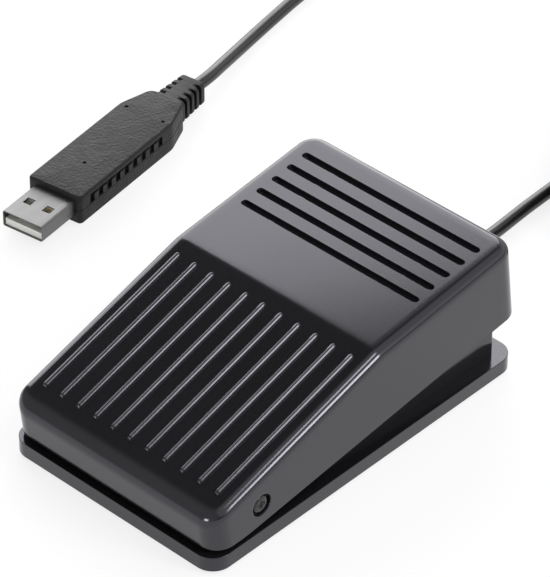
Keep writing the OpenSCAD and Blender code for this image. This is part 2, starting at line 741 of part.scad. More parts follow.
// Two insulated wires from the terminals to the end of the lead's jacket
module signal_wires() {
    x0 = -switch_left + terminal_t / 2 + 0.05;
    z0 = case_z - terminal_l * 0.7;
    first = [[x0, terminal_y[0], z0], [-5, terminal_y[0], z0], [-1.5, terminal_y[0] + 3, z0 + 0.4],
        [0.2, terminal_y[0] + 8, z0 + 1.4], [0.8, jacket_y - 5, outlet_z], [0.8, jacket_y, outlet_z]];
    second = [[x0, terminal_y[2], z0], [-5, terminal_y[2] - 1.6, z0], [-2, terminal_y[2] - 1.2, z0 + 1.2],
        [-0.8, jacket_y - 2, outlet_z], [-0.8, jacket_y, outlet_z]];
    color("#8c2f2b") tube(first, wire_d / 2, 6);
    color("#d8d8d4") tube(second, wire_d / 2, 6);
}

// Saddle over the lead, held down by two screws
module cable_clamp() {
    pad_w = clamp_screw_pitch + 2 * clamp_screw_d + 0.6;
    top = outlet_z + cord_r + clamp_t;
    color(plastic) translate([0, clamp_y, 0]) difference() {
        union() {
            translate([-pad_w / 2, -clamp_l / 2, outlet_z - 0.2]) cube([pad_w, clamp_l, 2]);
            translate([0, 0, outlet_z - 0.2]) intersection() {
                y_bar(cord_r + clamp_t + 0.2, -clamp_l / 2, clamp_l / 2);
                translate([-clamp_screw_pitch, -clamp_l, 0]) cube([2 * clamp_screw_pitch, 2 * clamp_l, top]);
            }
        }
        translate([0, 0, outlet_z]) y_bar(cord_r, -clamp_l, clamp_l);
        translate([-cord_r, -clamp_l, outlet_z - 1]) cube([cord_d, 2 * clamp_l, 1]);
        for (x = [-1, 1]) translate([x * clamp_screw_pitch / 2, 0, outlet_z - 1])
            cylinder(d = clamp_screw_d + 0.2, h = 6);
    }
}

module clamp_screws() {
    seat = outlet_z + 1.8;
    color(steel) for (x = [-1, 1]) translate([x * clamp_screw_pitch / 2, clamp_y, 0]) difference() {
        union() {
            translate([0, 0, plate_top + 0.2]) cylinder(d = clamp_screw_d, h = seat - plate_top - 0.2);
            translate([0, 0, seat]) cylinder(d = clamp_screw_d * 1.8, h = 1.4);
        }
        for (a = [0, 90]) translate([0, 0, seat + 0.7]) rotate([0, 0, a])
            translate([-1.3, -0.25, 0]) cube([2.6, 0.5, 1]);
    }
}

// Rubber bush in the rear riser wall, with a tapered nose round the lead
module cable_grommet() {
    flange_r = grommet_flange_d / 2;
    neck_r = grommet_d / 2;
    tip_r = nose_tip_d / 2;
    y0 = wall_in_y - grommet_flange_t;
    color(rubber) translate([0, 0, outlet_z]) rotate([-90, 0, 0]) rotate_extrude() polygon([
        [cord_r, y0], [flange_r, y0], [flange_r, wall_in_y], [neck_r, wall_in_y], [neck_r, riser_y1],
        [flange_r, riser_y1], [flange_r, nose_y], [neck_r, nose_y], [tip_r, nose_end], [cord_r, nose_end]]);
}

module cable_lead() {
    color(rubber) tube(concat(lead_route, [coil_start() - [0, cord_d, 0], coil_start()]), cord_r, 8);
}

// Radius and height of the coil after s turns: in and out again, a layer higher each time
function coil_layer(s) = min(floor(s / (coil_turns + 0.5)), coil_layers - 1);
function coil_in_layer(s) = s - coil_layer(s) * (coil_turns + 0.5);
function coil_r_in() = coil_r_out - coil_pitch * coil_turns;
function coil_turn_back(u) = coil_pitch / (2 * PI) * sin(360 * (u - coil_turns));
function coil_r(s) =
    let(u = coil_in_layer(s), inward = coil_layer(s) % 2 == 0)
    u <= coil_turns ? (inward ? coil_r_out - coil_pitch * u : coil_r_in() + coil_pitch * u)
    : (inward ? coil_r_in() - coil_turn_back(u) : coil_r_out + coil_turn_back(u));
function coil_up(s) =
    let(u = coil_in_layer(s))
    coil_z + coil_pitch * (coil_layer(s) + (u <= coil_turns ? 0 : (1 - cos(360 * (u - coil_turns))) / 2));
function coil_point(s) =
    let(a = 180 - 360 * s) [coil_centre.x + coil_r(s) * cos(a), coil_centre.y + coil_r(s) * sin(a), coil_up(s)];
function coil_start() = coil_point(0) - [0, cord_d, 0];
function coil_heading_out() = let(a = 180 - 360 * coil_total) [sin(a), -cos(a), 0];
function coil_end() = coil_point(coil_total) + cord_d * coil_heading_out();
coil_steps = ceil(coil_total * coil_rings);
coil_turned = [for (k = [0:coil_steps]) coil_point(coil_total * k / coil_steps)];
coil_path = concat([coil_start()], coil_turned, [coil_end()]);

module cable_coil() {
    gaps = [for (i = [0:coil_steps - coil_rings / 2]) min([for (j = [i + coil_rings / 2:coil_steps])
        norm(coil_turned[i] - coil_turned[j])])];
    echo(coil_least_gap = min(gaps) - cord_d, coil_turns_in_all = coil_total, coil_length = path_length(coil_path));
    color(rubber) tube(coil_path, cord_r, 6);
}

function plug_point(y, z) = plug_at + [-y * sin(plug_turn), y * cos(plug_turn), z];

module cable_tail() {
    leave = coil_end() + 2 * cord_d * coil_heading_out();
    enter = [plug_point(relief_end + 2 * cord_d, plug_mid_z - 0.3), plug_point(relief_end - 1, plug_mid_z),
        plug_point(housing_end - relief_anchor + 0.5, plug_mid_z)];
    path = concat([coil_end(), leave], tail_route, enter);
    echo(lead_length = path_length(lead_route), tail_length = path_length(path));
    color(rubber) tube(path, cord_r, 8);
}

// Strap round the bundle of turns at the far side of the coil
module cable_tie() {
    r0 = coil_r_in() - coil_pitch / (2 * PI) - cord_r - 0.3;
    r1 = coil_r_out + coil_pitch / (2 * PI) + cord_r + 0.3;
    high = coil_z + coil_pitch * (coil_layers - 1) + cord_r + 0.3;
    color("#202022") translate([coil_centre.x - tie_w / 2, coil_centre.y, 0]) difference() {
        translate([0, r0 - tie_t, 0]) cube([tie_w, r1 - r0 + 2 * tie_t, high + tie_t]);
        translate([-1, r0, tie_t]) cube([tie_w + 2, r1 - r0, high - tie_t]);
    }
}

// Places a piece of the plug where the plug lies
module at_plug() {
    translate(plug_at) rotate([0, 0, plug_turn]) children();
}

// Plan of the housing: square front, straight sides and rounded rear shoulders
module housing_plan(inset) {
    front_r = 1.2;
    side_r = 6;
    rear_r = 2.6;
    offset(delta = -inset) hull() for (side = [-1, 1]) {
        translate([side * (housing_w / 2 - front_r), housing_y + front_r]) circle(r = front_r, $fn = 16);
        translate([side * (housing_w / 2 - side_r), housing_end - shoulder_l]) circle(r = side_r, $fn = hull_fn);
        translate([side * (housing_rear_w / 2 - rear_r), housing_end - rear_r]) circle(r = rear_r, $fn = 16);
    }
}

// The whole housing with rounded upper and lower edges
module housing_form() {
    hull() for (k = [0:2]) {
        a = 45 * k;
        in = housing_edge * (1 - sin(a));
        end = housing_edge * (1 - cos(a));
        translate([0, 0, end]) linear_extrude(housing_h - 2 * end) housing_plan(in);
    }
}

module housing_space() {
    space_h = housing_h - 2 * housing_wall;
    translate([0, 0, housing_wall]) linear_extrude(space_h) difference() {
        housing_plan(housing_wall);
        translate([-housing_w, housing_end - shoulder_l / 2]) square([2 * housing_w, shoulder_l]);
    }
}

// Channel with standing teeth below the top of the housing, on each side
module housing_grips() {
    low = plug_mid_z + 0.2;
    gap = grip_pitch - grip_tooth;
    both_sides() translate([housing_w / 2 - grip_depth, grip_y, 0]) {
        translate([0, 0, grip_top - grip_slot]) cube([grip_depth + 1, grip_count * grip_pitch + gap, grip_slot]);
        for (k = [0:grip_count])
            translate([0, k * grip_pitch, low]) cube([grip_depth + 1, gap, grip_top - low]);
    }
}

module housing_half() {
    at_plug() difference() {
        intersection() {
            housing_form();
            children();
        }
        housing_space();
        housing_grips();
        for (p = pin_holes) translate([p.x, housing_y + p.y, housing_h - 0.6]) cylinder(d = pin_hole_d, h = 1);
        translate([-usb_w / 2, housing_y - 1, plug_mid_z - usb_h / 2]) cube([usb_w, housing_wall + 2, usb_h]);
        translate([0, 0, plug_mid_z]) y_bar(neck_r, housing_end - shoulder_l, housing_end + 1);
        translate([0, 0, plug_mid_z])
            y_bar(collar_d / 2, housing_end - relief_anchor, housing_end - relief_anchor + collar_l);
    }
}

module plug_lower_shell() {
    color(plastic) housing_half()
        translate([-housing_w, 0, 0]) cube([2 * housing_w, 2 * housing_end, plug_mid_z]);
}

module plug_upper_shell() {
    color(plastic) housing_half()
        translate([-housing_w, 0, plug_mid_z]) cube([2 * housing_w, 2 * housing_end, housing_h]);
}

// Tapered flat sleeve with notched sides, keyed into the housing by a collar
module plug_strain_relief() {
    anchor_y = housing_end - relief_anchor;
    pitch = (relief_l - 1.6) / relief_notches;
    core_x = cord_r + 0.7;
    side = relief_w / 2;
    edge = relief_h / 2;
    color(rubber) at_plug() translate([0, 0, plug_mid_z]) difference() {
        union() {
            y_bar(collar_d / 2, anchor_y, anchor_y + collar_l);
            y_bar(neck_r, anchor_y, relief_y + 1);
            intersection() {
                translate([0, 0, -edge]) linear_extrude(relief_h) polygon([[-side, relief_y], [side, relief_y],
                    [relief_tip_w / 2, relief_end], [-relief_tip_w / 2, relief_end]]);
                translate([0, relief_end + 1, 0]) rotate([90, 0, 0]) linear_extrude(relief_l + 2) polygon([
                    [-side, -edge + relief_chamfer], [-side + relief_chamfer, -edge], [side - relief_chamfer, -edge],
                    [side, -edge + relief_chamfer], [side, edge - relief_chamfer], [side - relief_chamfer, edge],
                    [-side + relief_chamfer, edge], [-side, edge - relief_chamfer]]);
            }
        }
        y_bar(cord_r, anchor_y - 1, relief_end + 1);
        both_sides() for (k = [0:relief_notches - 1])
            translate([core_x, relief_y + 1.1 + k * pitch, -relief_h]) cube([relief_w, relief_notch_w, 2 * relief_h]);
    }
}

// Folded steel shell of the plug, open at its mouth, with two windows above and below
module usb_shell() {
    inner = [usb_w - 2 * usb_sheet, usb_h - 2 * usb_sheet];
    color(steel) at_plug() translate([0, 0, plug_mid_z]) difference() {
        translate([-usb_w / 2, 0, -usb_h / 2]) cube([usb_w, usb_reach + usb_inside, usb_h]);
        translate([-inner.x / 2, -1, -inner.y / 2]) cube([inner.x, usb_reach + usb_inside + 2, inner.y]);
        for (x = [-1, 1]) translate([x * 2.9 - usb_window / 2, 5.4, -usb_h]) cube([usb_window, usb_window, 2 * usb_h]);
    }
}

module usb_insulator() {
    inner = [usb_w - 2 * usb_sheet, usb_h - 2 * usb_sheet];
    color("#e8e8e4") at_plug() translate([0, 0, plug_mid_z]) {
        translate([-tongue_w / 2, 0.6, -inner.y / 2]) cube([tongue_w, usb_reach - 0.6, tongue_t]);
        translate([-inner.x / 2, usb_reach - 3.2, -inner.y / 2]) cube([inner.x, usb_inside + 3.2, inner.y]);
    }
}

// Four flat contacts on the tongue
module usb_contacts() {
    top = plug_mid_z - usb_h / 2 + usb_sheet + tongue_t;
    long = [7.4, 6.4, 6.4, 7.4];
    color(brass) at_plug() for (k = [0:3])
        translate([(k - 1.5) * 2.25 - contact_w / 2, usb_reach - 3.2 - long[k], top]) cube([contact_w, long[k], contact_t]);
}

module controller_board() {
    color("#1f5a3a") at_plug() translate([-board_w / 2, board_y, housing_wall]) cube([board_w, board_l, board_t]);
}

module controller_chip() {
    color("#161618") at_plug() translate([-2, board_y + 9, housing_wall + board_t]) {
        cube([4, 5, 1.5]);
        for (k = [0:3], side = [0, 1])
            translate([side ? 4 : -1, 0.4 + 1.27 * k, 0]) cube([1, 0.4, 0.7]);
    }
}

base_tray();
rubber_feet();
pedal_shell();
hinge_screws();
return_spring();
switch_case();
switch_cover();
switch_terminals();
switch_screws();
switch_plunger();
switch_lever();
signal_wires();
cable_clamp();
clamp_screws();
cable_grommet();
cable_lead();
cable_coil();
cable_tail();
cable_tie();
plug_lower_shell();
plug_upper_shell();
plug_strain_relief();
usb_shell();
usb_insulator();
usb_contacts();
controller_board();
controller_chip();
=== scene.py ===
# %% [markdown]
# # A foot pedal switch on its lead
# A treadle of glossy black plastic rocks over a low base, and a thin lead runs from the base to a long plug.
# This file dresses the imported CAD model: it keeps the hidden mechanism, and lays finer skins over what the eye meets.
# The object's lengths below are in millimetres, and become metres only when a mesh is made. The camera, the floor and
# the lamps are in metres from the start.

import bmesh
import bpy
import numpy as np
from mathutils import Matrix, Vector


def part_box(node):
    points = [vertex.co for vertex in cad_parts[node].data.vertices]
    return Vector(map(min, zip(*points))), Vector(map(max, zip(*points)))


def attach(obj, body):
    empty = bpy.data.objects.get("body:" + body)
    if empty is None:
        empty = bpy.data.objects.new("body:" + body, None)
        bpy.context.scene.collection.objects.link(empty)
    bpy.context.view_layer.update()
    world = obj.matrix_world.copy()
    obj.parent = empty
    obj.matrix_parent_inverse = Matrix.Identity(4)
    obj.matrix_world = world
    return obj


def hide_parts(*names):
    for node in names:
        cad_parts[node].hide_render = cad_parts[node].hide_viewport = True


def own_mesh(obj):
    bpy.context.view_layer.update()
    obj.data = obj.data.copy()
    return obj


MM = 0.001
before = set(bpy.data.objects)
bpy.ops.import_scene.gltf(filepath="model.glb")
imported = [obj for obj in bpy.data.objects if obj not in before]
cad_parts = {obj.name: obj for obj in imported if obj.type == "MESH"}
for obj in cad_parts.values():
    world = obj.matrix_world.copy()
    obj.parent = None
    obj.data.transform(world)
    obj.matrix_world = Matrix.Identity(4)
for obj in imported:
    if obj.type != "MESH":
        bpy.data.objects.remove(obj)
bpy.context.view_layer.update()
scene = bpy.context.scene

# %% [markdown]
# ## Camera
# The picture was taken from the front right, about 38 degrees up, with a long lens that keeps parallel edges
# parallel. A camera could be aimed with a constraint, but a matrix made of its right, up and back directions is
# exact and plain.

# %% Camera
CAMERA_TURN, CAMERA_RISE = np.radians(43.239), np.radians(38.333)
CAMERA_AT = [0.51612, -0.54597, 0.62917]
CAMERA_LENS, CAMERA_SENSOR = 280.16, 36
camera_right = np.array([np.cos(CAMERA_TURN), np.sin(CAMERA_TURN), 0])
camera_back = np.array([np.sin(CAMERA_TURN) * np.cos(CAMERA_RISE),
                        -np.cos(CAMERA_TURN) * np.cos(CAMERA_RISE), np.sin(CAMERA_RISE)])
camera_up = np.cross(camera_back, camera_right)
camera_data = bpy.data.cameras.new("camera")
camera_data.lens = CAMERA_LENS
camera_data.sensor_width = CAMERA_SENSOR
camera_data.sensor_fit = "HORIZONTAL"
camera = bpy.data.objects.new("camera", camera_data)
camera_place = np.eye(4)
camera_place[:3] = np.column_stack([camera_right, camera_up, camera_back, CAMERA_AT])
camera.matrix_world = Matrix(camera_place.tolist())
scene.collection.objects.link(camera)
scene.camera = camera
scene.view_settings.view_transform = "Standard"
print("the camera looks along", np.round(-camera_back, 3))

# %% [markdown]
# ## From arrays to meshes
# Nearly every moulding here is a stack of closed loops with a skin between them, so one helper joins the loops with
# quads. A shell is a pair: an array of points and an array of quads. An end is closed by one more loop that is shrunk
# to a point, and points that coincide are merged when the mesh is made.

# %% Helpers for shells
MERGE_GAP, SLIVER = 2e-7, 1e-8


def grid_quads(rows, columns, wrap_rows=False, wrap_columns=True):
    """Quads between neighbouring points of a grid that is stored row by row, joined round where it wraps."""
    row = np.arange(rows if wrap_rows else rows - 1)[:, None]
    column = np.arange(columns if wrap_columns else columns - 1)[None, :]
    next_row = (row + 1) % rows
    next_column = (column + 1) % columns
    corners = [row * columns + column, row * columns + next_column,
               next_row * columns + next_column, next_row * columns + column]
    return np.stack(corners, -1)


def loft(loops, cap_first=True, cap_last=True, wrap=False):
    """A skin over loops of equal count: row r of the array is loop r. A capped end gets one more loop, all of whose
    points lie at the mean of the end loop."""
    loops = np.asarray(loops, float)
    if cap_first:
        loops = np.concatenate([np.broadcast_to(loops[:1].mean(1, keepdims=True), loops[:1].shape), loops])
    if cap_last:
        loops = np.concatenate([loops, np.broadcast_to(loops[-1:].mean(1, keepdims=True), loops[-1:].shape)])
    quads = grid_quads(loops.shape[0], loops.shape[1], wrap_rows=wrap)
    return loops.reshape(-1, 3), quads.reshape(-1, 4)


def join_shells(shells):
    """Several shells as one: the point numbers of each are moved up by the count of points before it."""
    counts = np.cumsum([0] + [len(points) for points, quads in shells])
    points = np.concatenate([points for points, quads in shells])
    quads = np.concatenate([quads + count for (_, quads), count in zip(shells, counts)])
    return points, quads


def add_piece(name, shells, body, replaces=(), sharp=35):
    """Makes one mesh of its shells, with faces outwards, and smooth shading that breaks at sharp edges."""
    points, quads = join_shells(shells)
    mesh = bpy.data.meshes.new(name)
    mesh.from_pydata((points * MM).tolist(), [], quads.tolist())
    work = bmesh.new()
    work.from_mesh(mesh)
    bmesh.ops.remove_doubles(work, verts=work.verts, dist=MERGE_GAP)
    bmesh.ops.dissolve_degenerate(work, edges=work.edges, dist=SLIVER)
    bmesh.ops.recalc_face_normals(work, faces=work.faces)
    work.to_mesh(mesh)
    work.free()
    mesh.shade_smooth()
    mesh.set_sharp_from_angle(angle=np.radians(sharp))
    piece = bpy.data.objects.new(name, mesh)
    scene.collection.objects.link(piece)
    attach(piece, body)
    if replaces:
        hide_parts(*replaces)
    print(name, "has", len(mesh.polygons), "faces")
    return piece


# %% [markdown]
# ## The lead
# The lead is one length of 3.4 mm cord: out of the base, down to the floor, round a coil of spare length, and on
# to the plug. A curve with a bevel would do, but the coil is a formula, so the whole centre line is worked out as
# an array. Between the given points of a bend a cubic runs with the slope of its neighbours, weighted by their
# distances.


# %% Helpers for cords
def smooth_path(knots, step):
    """Cubic pieces through the knots. Each knot's slope is the mean of its two chords, the nearer one counting more.
    The result has points about one step apart."""
    knots = np.asarray(knots, float)
    gap = np.linalg.norm(np.diff(knots, axis=0), axis=1)
    chord = np.diff(knots, axis=0) / gap[:, None]
    inner = (chord[:-1] * gap[1:, None] + chord[1:] * gap[:-1, None]) / (gap[:-1] + gap[1:])[:, None]
    slope = np.concatenate([chord[:1], inner, chord[-1:]])
    along = np.concatenate([[0], np.cumsum(gap)])
    place = np.linspace(0, along[-1], int(along[-1] / step) + 2)
    part = np.clip(np.searchsorted(along, place, side="right") - 1, 0, len(gap) - 1)
    length = gap[part][:, None]
    t = ((place - along[part]) / gap[part])[:, None]
    return (knots[part] * (2 * t**3 - 3 * t**2 + 1) + knots[part + 1] * (3 * t**2 - 2 * t**3)
            + slope[part] * length * (t**3 - 2 * t**2 + t) + slope[part + 1] * length * (t**3 - t**2))


def tube(path, radius, sides):
    """A round bar along a path: each ring lies square to the path, with one axis level and the other across it."""
    heading = np.gradient(path, axis=0)
    heading = heading / np.linalg.norm(heading, axis=1)[:, None]
    level = np.cross(heading, [0.0, 0.0, 1.0])
    level = level / np.linalg.norm(level, axis=1)[:, None]
    upward = np.cross(level, heading)
    angle = np.linspace(0, 2 * np.pi, sides, endpoint=False)[None, :, None]
    return loft(path[:, None] + radius * (np.cos(angle) * level[:, None] + np.sin(angle) * upward[:, None]))


def path_length(path):
    """The sum of the distances between neighbouring points."""
    return np.linalg.norm(np.diff(path, axis=0), axis=1).sum()


# %% The coil of spare length
COIL_CENTRE = np.array([20, 124.0])
COIL_PITCH, COIL_TURNS, COIL_LAYERS = 3.95, 2.6, 4
COIL_OUT, COIL_LOW = 25.2, 2.7
COIL_IN = COIL_OUT - COIL_PITCH * COIL_TURNS
LAYER_TURNS, POINTS_PER_TURN = COIL_TURNS + 0.5, 72
COIL_TOTAL = COIL_LAYERS * COIL_TURNS + (COIL_LAYERS - 1) / 2


def coil_points(turns):
    """A flat spiral that goes in, climbs one layer over half a turn, comes out, climbs again, and so on.
    While it climbs, its radius swings a little past the edge and back, so that the cord has no corner."""
    layer = np.minimum(np.floor(turns / LAYER_TURNS), COIL_LAYERS - 1)
    inside = turns - layer * LAYER_TURNS
    inward = layer % 2 == 0
    spiral = np.where(inward, COIL_OUT - COIL_PITCH * inside, COIL_IN + COIL_PITCH * inside)
    climb_turn = 2 * np.pi * (inside - COIL_TURNS)
    swing = COIL_PITCH / (2 * np.pi) * np.sin(climb_turn)
    turning = np.where(inward, COIL_IN - swing, COIL_OUT + swing)
    climbs = inside > COIL_TURNS
    radius = np.where(climbs, turning, spiral)
    rise = np.where(climbs, (1 - np.cos(climb_turn)) / 2, 0)
    angle = np.pi - 2 * np.pi * turns
    return np.stack([COIL_CENTRE[0] + radius * np.cos(angle), COIL_CENTRE[1] + radius * np.sin(angle),
                     COIL_LOW + COIL_PITCH * (layer + rise)], -1)


coil_line = coil_points(np.linspace(0, COIL_TOTAL, int(COIL_TOTAL * POINTS_PER_TURN)))
print("the coil holds", round(path_length(coil_line)), "mm of lead")

# %% The route of the lead
CORD_R, CORD_STEP, CORD_SIDES, FLOOR_GAP = 1.7, 1.5, 16, 0.03
RISER_REAR, OUTLET_Z = 46.6, 9.4
JACKET_Y, CLAMP_Y, NOSE_Y, NOSE_END = 34.1, 40.25, 47.9, 56.9
PLUG_AT, PLUG_TURN = np.array([-86, 5.9, 0]), np.radians(8)


def plug_place(points):
    """Points of the plug, from its mouth along +Y, turned 8 degrees and set where the plug lies."""
    x, y, z = np.moveaxis(np.asarray(points, float), -1, 0)
    turned_x = x * np.cos(PLUG_TURN) - y * np.sin(PLUG_TURN)
    turned_y = x * np.sin(PLUG_TURN) + y * np.cos(PLUG_TURN)
    return np.stack([turned_x, turned_y, z], -1) + PLUG_AT


held_y = [JACKET_Y, CLAMP_Y, RISER_REAR, NOSE_END, NOSE_END + 3]
lead_knots = [*[[0, y, OUTLET_Z] for y in held_y],
              [-0.5, 63.5, 8.6], [-1.1, 68, 7.2], [-2, 73, 5], [-2.9, 78, 3.1], [-3.6, 83, 2.1], [-4.2, 89, 1.8],
              [-4.7, 96, 1.8], [-5, 103, 1.8], [-5.1, 111, 2.1],
              [-5.2, 117.2, 2.7], [-5.2, 120.6, 2.7], [-5.2, 124, 2.7]]
tail_knots = [coil_line[-1], [-2.39, 111.94, 14.55], [-6.38, 117.44, 14.55], [-12.5, 126.5, 12.6], [-18.5, 136, 9.6],
              [-24.5, 146, 5.8], [-31, 156, 2.9], [-40, 166, 1.8], [-52, 174, 1.8], [-66, 178, 1.8], [-81, 177, 1.8],
              [-94, 170, 1.8], [-102.5, 158, 1.8], [-106.6, 145, 1.8], [-107.3, 133, 1.8], [-106.2, 123.5, 1.8],
              [-104.7, 115, 1.8], [-102.9, 105.5, 1.8], [-100.9, 97, 2.2], [-98.7, 89, 3],
              *plug_place([[0, 76.3, 3.8], [0, 68.5, 4.1], [0, 56.5, 4.1]])]
lead_line, tail_line = smooth_path(lead_knots, CORD_STEP), smooth_path(tail_knots, CORD_STEP)
cord_line = np.concatenate([lead_line[:-1], coil_line, tail_line[1:]])
cord_line[:, 2] = np.maximum(cord_line[:, 2], CORD_R + FLOOR_GAP)
lead_cord = add_piece("lead_cord", [tube(cord_line, CORD_R, CORD_SIDES)], "base",
                      ["cable_lead", "cable_coil", "cable_tail"])
print("the lead is", round(path_length(cord_line)), "mm long")

# %% [markdown]
# ## The tie round the coil
# A thin strap holds the spare turns together. It is one closed band: a loop with round corners, with a rounded edge
# on each side, so that light runs along it.


# %% The tie
def round_loop(low, high, radius, corner_steps=6):
    """A rectangle with round corners in its own plane, run anticlockwise: four quarter circles, one after another."""
    (x0, y0), (x1, y1) = low, high
    quarter = np.linspace(0, np.pi / 2, corner_steps + 1)
    centres = [(x1 - radius, y1 - radius), (x0 + radius, y1 - radius),
               (x0 + radius, y0 + radius), (x1 - radius, y0 + radius)]
    turns = [quarter + k * np.pi / 2 for k in range(4)]
    return np.concatenate([np.column_stack([cx + radius * np.cos(turn), cy + radius * np.sin(turn)])
                           for (cx, cy), turn in zip(centres, turns)])


TIE_Y0, TIE_Y1, TIE_TOP, TIE_R = 135.5, 152.6, 17.35, 2.4
TIE_X0, TIE_X1, TIE_THICK = 17.5, 22.5, 0.8


def tie_loop(x, inset):
    """The strap's loop in the plane across x, drawn in by inset."""
    loop = round_loop((TIE_Y0 + inset, inset), (TIE_Y1 - inset, TIE_TOP - inset), TIE_R - inset, 8)
    return np.column_stack([np.full(len(loop), x), loop])


tie_corner = np.array([(0, 0.25), (0.1, 0.08), (0.25, 0)])
tie_outside = np.concatenate([tie_corner + [TIE_X0, 0], tie_corner[::-1] * [-1, 1] + [TIE_X1, 0]])
tie_section = np.concatenate([tie_outside, tie_outside[::-1] * [1, -1] + [0, TIE_THICK]])
tie_band = loft([tie_loop(x, inset) for x, inset in tie_section], False, False, wrap=True)
coil_tie = add_piece("coil_tie", [tie_band], "base", ["cable_tie"])

# %% [markdown]
# ## The pedal
# The treadle is the piece that is looked at most: a sloped front tread with raised beads, a flat rear tread with
# slots, round edges, and a thin straight skirt. It could be cut with Booleans, but their edges shade badly.
# Here the treads are one height field over a grid whose lines crowd where a bead or slot has its flanks.
# From the grid's border, loops carry the edge's profile: over the round edge, down the skirt, round its lip and
# up inside.

# %% The pedal's sizes
PEDAL_X, PEDAL_Y0, PEDAL_Y1 = 31.7, -49.9, 51.4
PEDAL_R, EDGE_R, FRONT_EDGE_R, PEDAL_WALL = 5.0, 2.5, 3.6, 2.2
FLAT_Z, SKIRT_Z = 27.65, 6.8
CREASE_Y, CREASE_SOFT, TREAD_FALL = 5.2, 0.3, np.tan(np.radians(10))
HINGE_Y, HINGE_Z, REST_LIFT = -35.0, 12.1, np.radians(6.6)
BEAD_X = (np.arange(11) - 5) * 5.34
BEAD_Y0, BEAD_Y1, BEAD_H = -42.8, 0.8, 0.7
BEAD_ARCS, BEAD_WALL = [(0.5, 0, 30, 4), (4.0, 30, 36, 2)], np.radians(86)
SLOT_Y = 43.6 - 5.17 * np.arange(5)
SLOT_REACH, SLOT_HALF, SLOT_FLANK, SLOT_DEEP = 26.15, 0.96, 0.2, 1.3
FRONT_RUN, FRONT_RELIEF = 9, 1.2
ARCH_R, ARCH_UP, ARCH_HALF, ARCH_DEEP = 5, 2.5, 5.05, 6
print("the treads have", len(BEAD_X), "beads and", len(SLOT_Y), "slots")


# %% The treads' height
def tread_z(y):
    """Height of the plain treads: flat behind the crease, falling in front of it, and a narrow round bend between.
    The bend is (s + root(s squared + softness)) / 2, where s is the distance in front of the crease."""
    ahead = CREASE_Y - y
    return FLAT_Z - (ahead + np.sqrt(ahead**2 + CREASE_SOFT)) / 2 * TREAD_FALL


def bead_profile():
    """Half of a bead's cross section from its top out, as distances and heights. It runs over arcs, each with a
    radius and two steepness angles a and b: radius (sin b - sin a) out, radius (cos a - cos b) down. A steep wall
    ends it."""
    out, down = np.zeros(1), np.zeros(1)
    for radius, first, last, steps in BEAD_ARCS:
        turn = np.radians(np.linspace(first, last, steps + 1))
        out = np.append(out, out[-1] + radius * (np.sin(turn[1:]) - np.sin(turn[0])))
        down = np.append(down, down[-1] + radius * (np.cos(turn[0]) - np.cos(turn[1:])))
    wall = (BEAD_H - down[-1]) / np.tan(BEAD_WALL)
    return np.append(out, out[-1] + wall), BEAD_H - np.append(down, BEAD_H)


bead_out, bead_z = bead_profile()


def bead_rise(x, y):
    """Raised beads: their profile over the distance to the nearest bead's centre line, so the ends are round too."""
    across = np.abs(x[..., None] - BEAD_X).min(-1)
    beyond = np.maximum(np.maximum(BEAD_Y0 - y, y - BEAD_Y1), 0)
    return np.interp(np.hypot(across, beyond), bead_out, bead_z)


def slot_fall(x, y):
    """Blind slots: full depth near the centre line, none past the flank, and a smooth step between, with round ends.
    The step is 3 s squared - 2 s cubed, where s runs from 0 to 1 over the flank."""
    across = np.abs(y[..., None] - SLOT_Y).min(-1)
    distance = np.hypot(across, np.maximum(np.abs(x) - SLOT_REACH, 0))
    step = np.clip((SLOT_HALF - distance) / SLOT_FLANK, 0, 1)
    return SLOT_DEEP * step**2 * (3 - 2 * step)


def lifted(points):
    """The level pedal's points, turned up about the hinge to where the pedal rests."""
    points = np.asarray(points, float)
    y, z = points[..., 1] - HINGE_Y, points[..., 2] - HINGE_Z
    return np.stack([points[..., 0], HINGE_Y + y * np.cos(REST_LIFT) - z * np.sin(REST_LIFT),
                     HINGE_Z + y * np.sin(REST_LIFT) + z * np.cos(REST_LIFT)], -1)


print("a bead is", round(2 * bead_out[-1], 2), "mm wide at its foot")

# %% The grid of the treads
TREAD_INSET, WINDOW_HALF, WINDOW_ROWS = 3.9, 4, 13
END_GAP, LINE_GAP = 0.04, 0.012


def grid_lines(low, high, *groups):
    """Sorted line places between two ends, with any that nearly coincide left out."""
    lines = np.unique(np.concatenate([np.ravel(group) for group in groups]))
    lines = lines[(lines > low + END_GAP) & (lines < high - END_GAP)]
    lines = np.concatenate([[low], lines, [high]])
    return lines[np.concatenate([[True], np.diff(lines) > LINE_GAP])]


def both_ways(steps):
    """Steps out from a middle, taken to both sides of it."""
    return np.concatenate([-np.asarray(steps), steps])


bead_steps = both_ways(bead_out)
slot_steps = both_ways([0, 0.45, 0.7, 0.76, 0.8, 0.84, 0.88, 0.92, 0.96, 1.1])
crease_steps = both_ways([0, 0.2, 0.4, 0.7, 1.2, 2])
arch_lines = both_ways(ARCH_HALF + np.array([-0.03, 0.03]))
plain_lines = np.arange(-28, 22, 3.0)
corner_steps = np.linspace(0, PEDAL_R - TREAD_INSET, 9)
window_y = np.linspace(HINGE_Y - WINDOW_HALF, HINGE_Y + WINDOW_HALF, WINDOW_ROWS)
side_half = PEDAL_X - TREAD_INSET
y_front, y_rear = PEDAL_Y0 + TREAD_INSET, PEDAL_Y1 - TREAD_INSET
x_lines = grid_lines(-side_half, side_half, BEAD_X[:, None] + bead_steps, both_ways(side_half - corner_steps),
                     SLOT_REACH + slot_steps, slot_steps - SLOT_REACH, arch_lines)
y_lines = grid_lines(y_front, y_rear, y_front + corner_steps, y_rear - corner_steps, window_y,
                     BEAD_Y0 + bead_steps, BEAD_Y1 + bead_steps, CREASE_Y + crease_steps,
                     SLOT_Y[:, None] + slot_steps, plain_lines)
tread_x, tread_y = np.meshgrid(x_lines, y_lines)
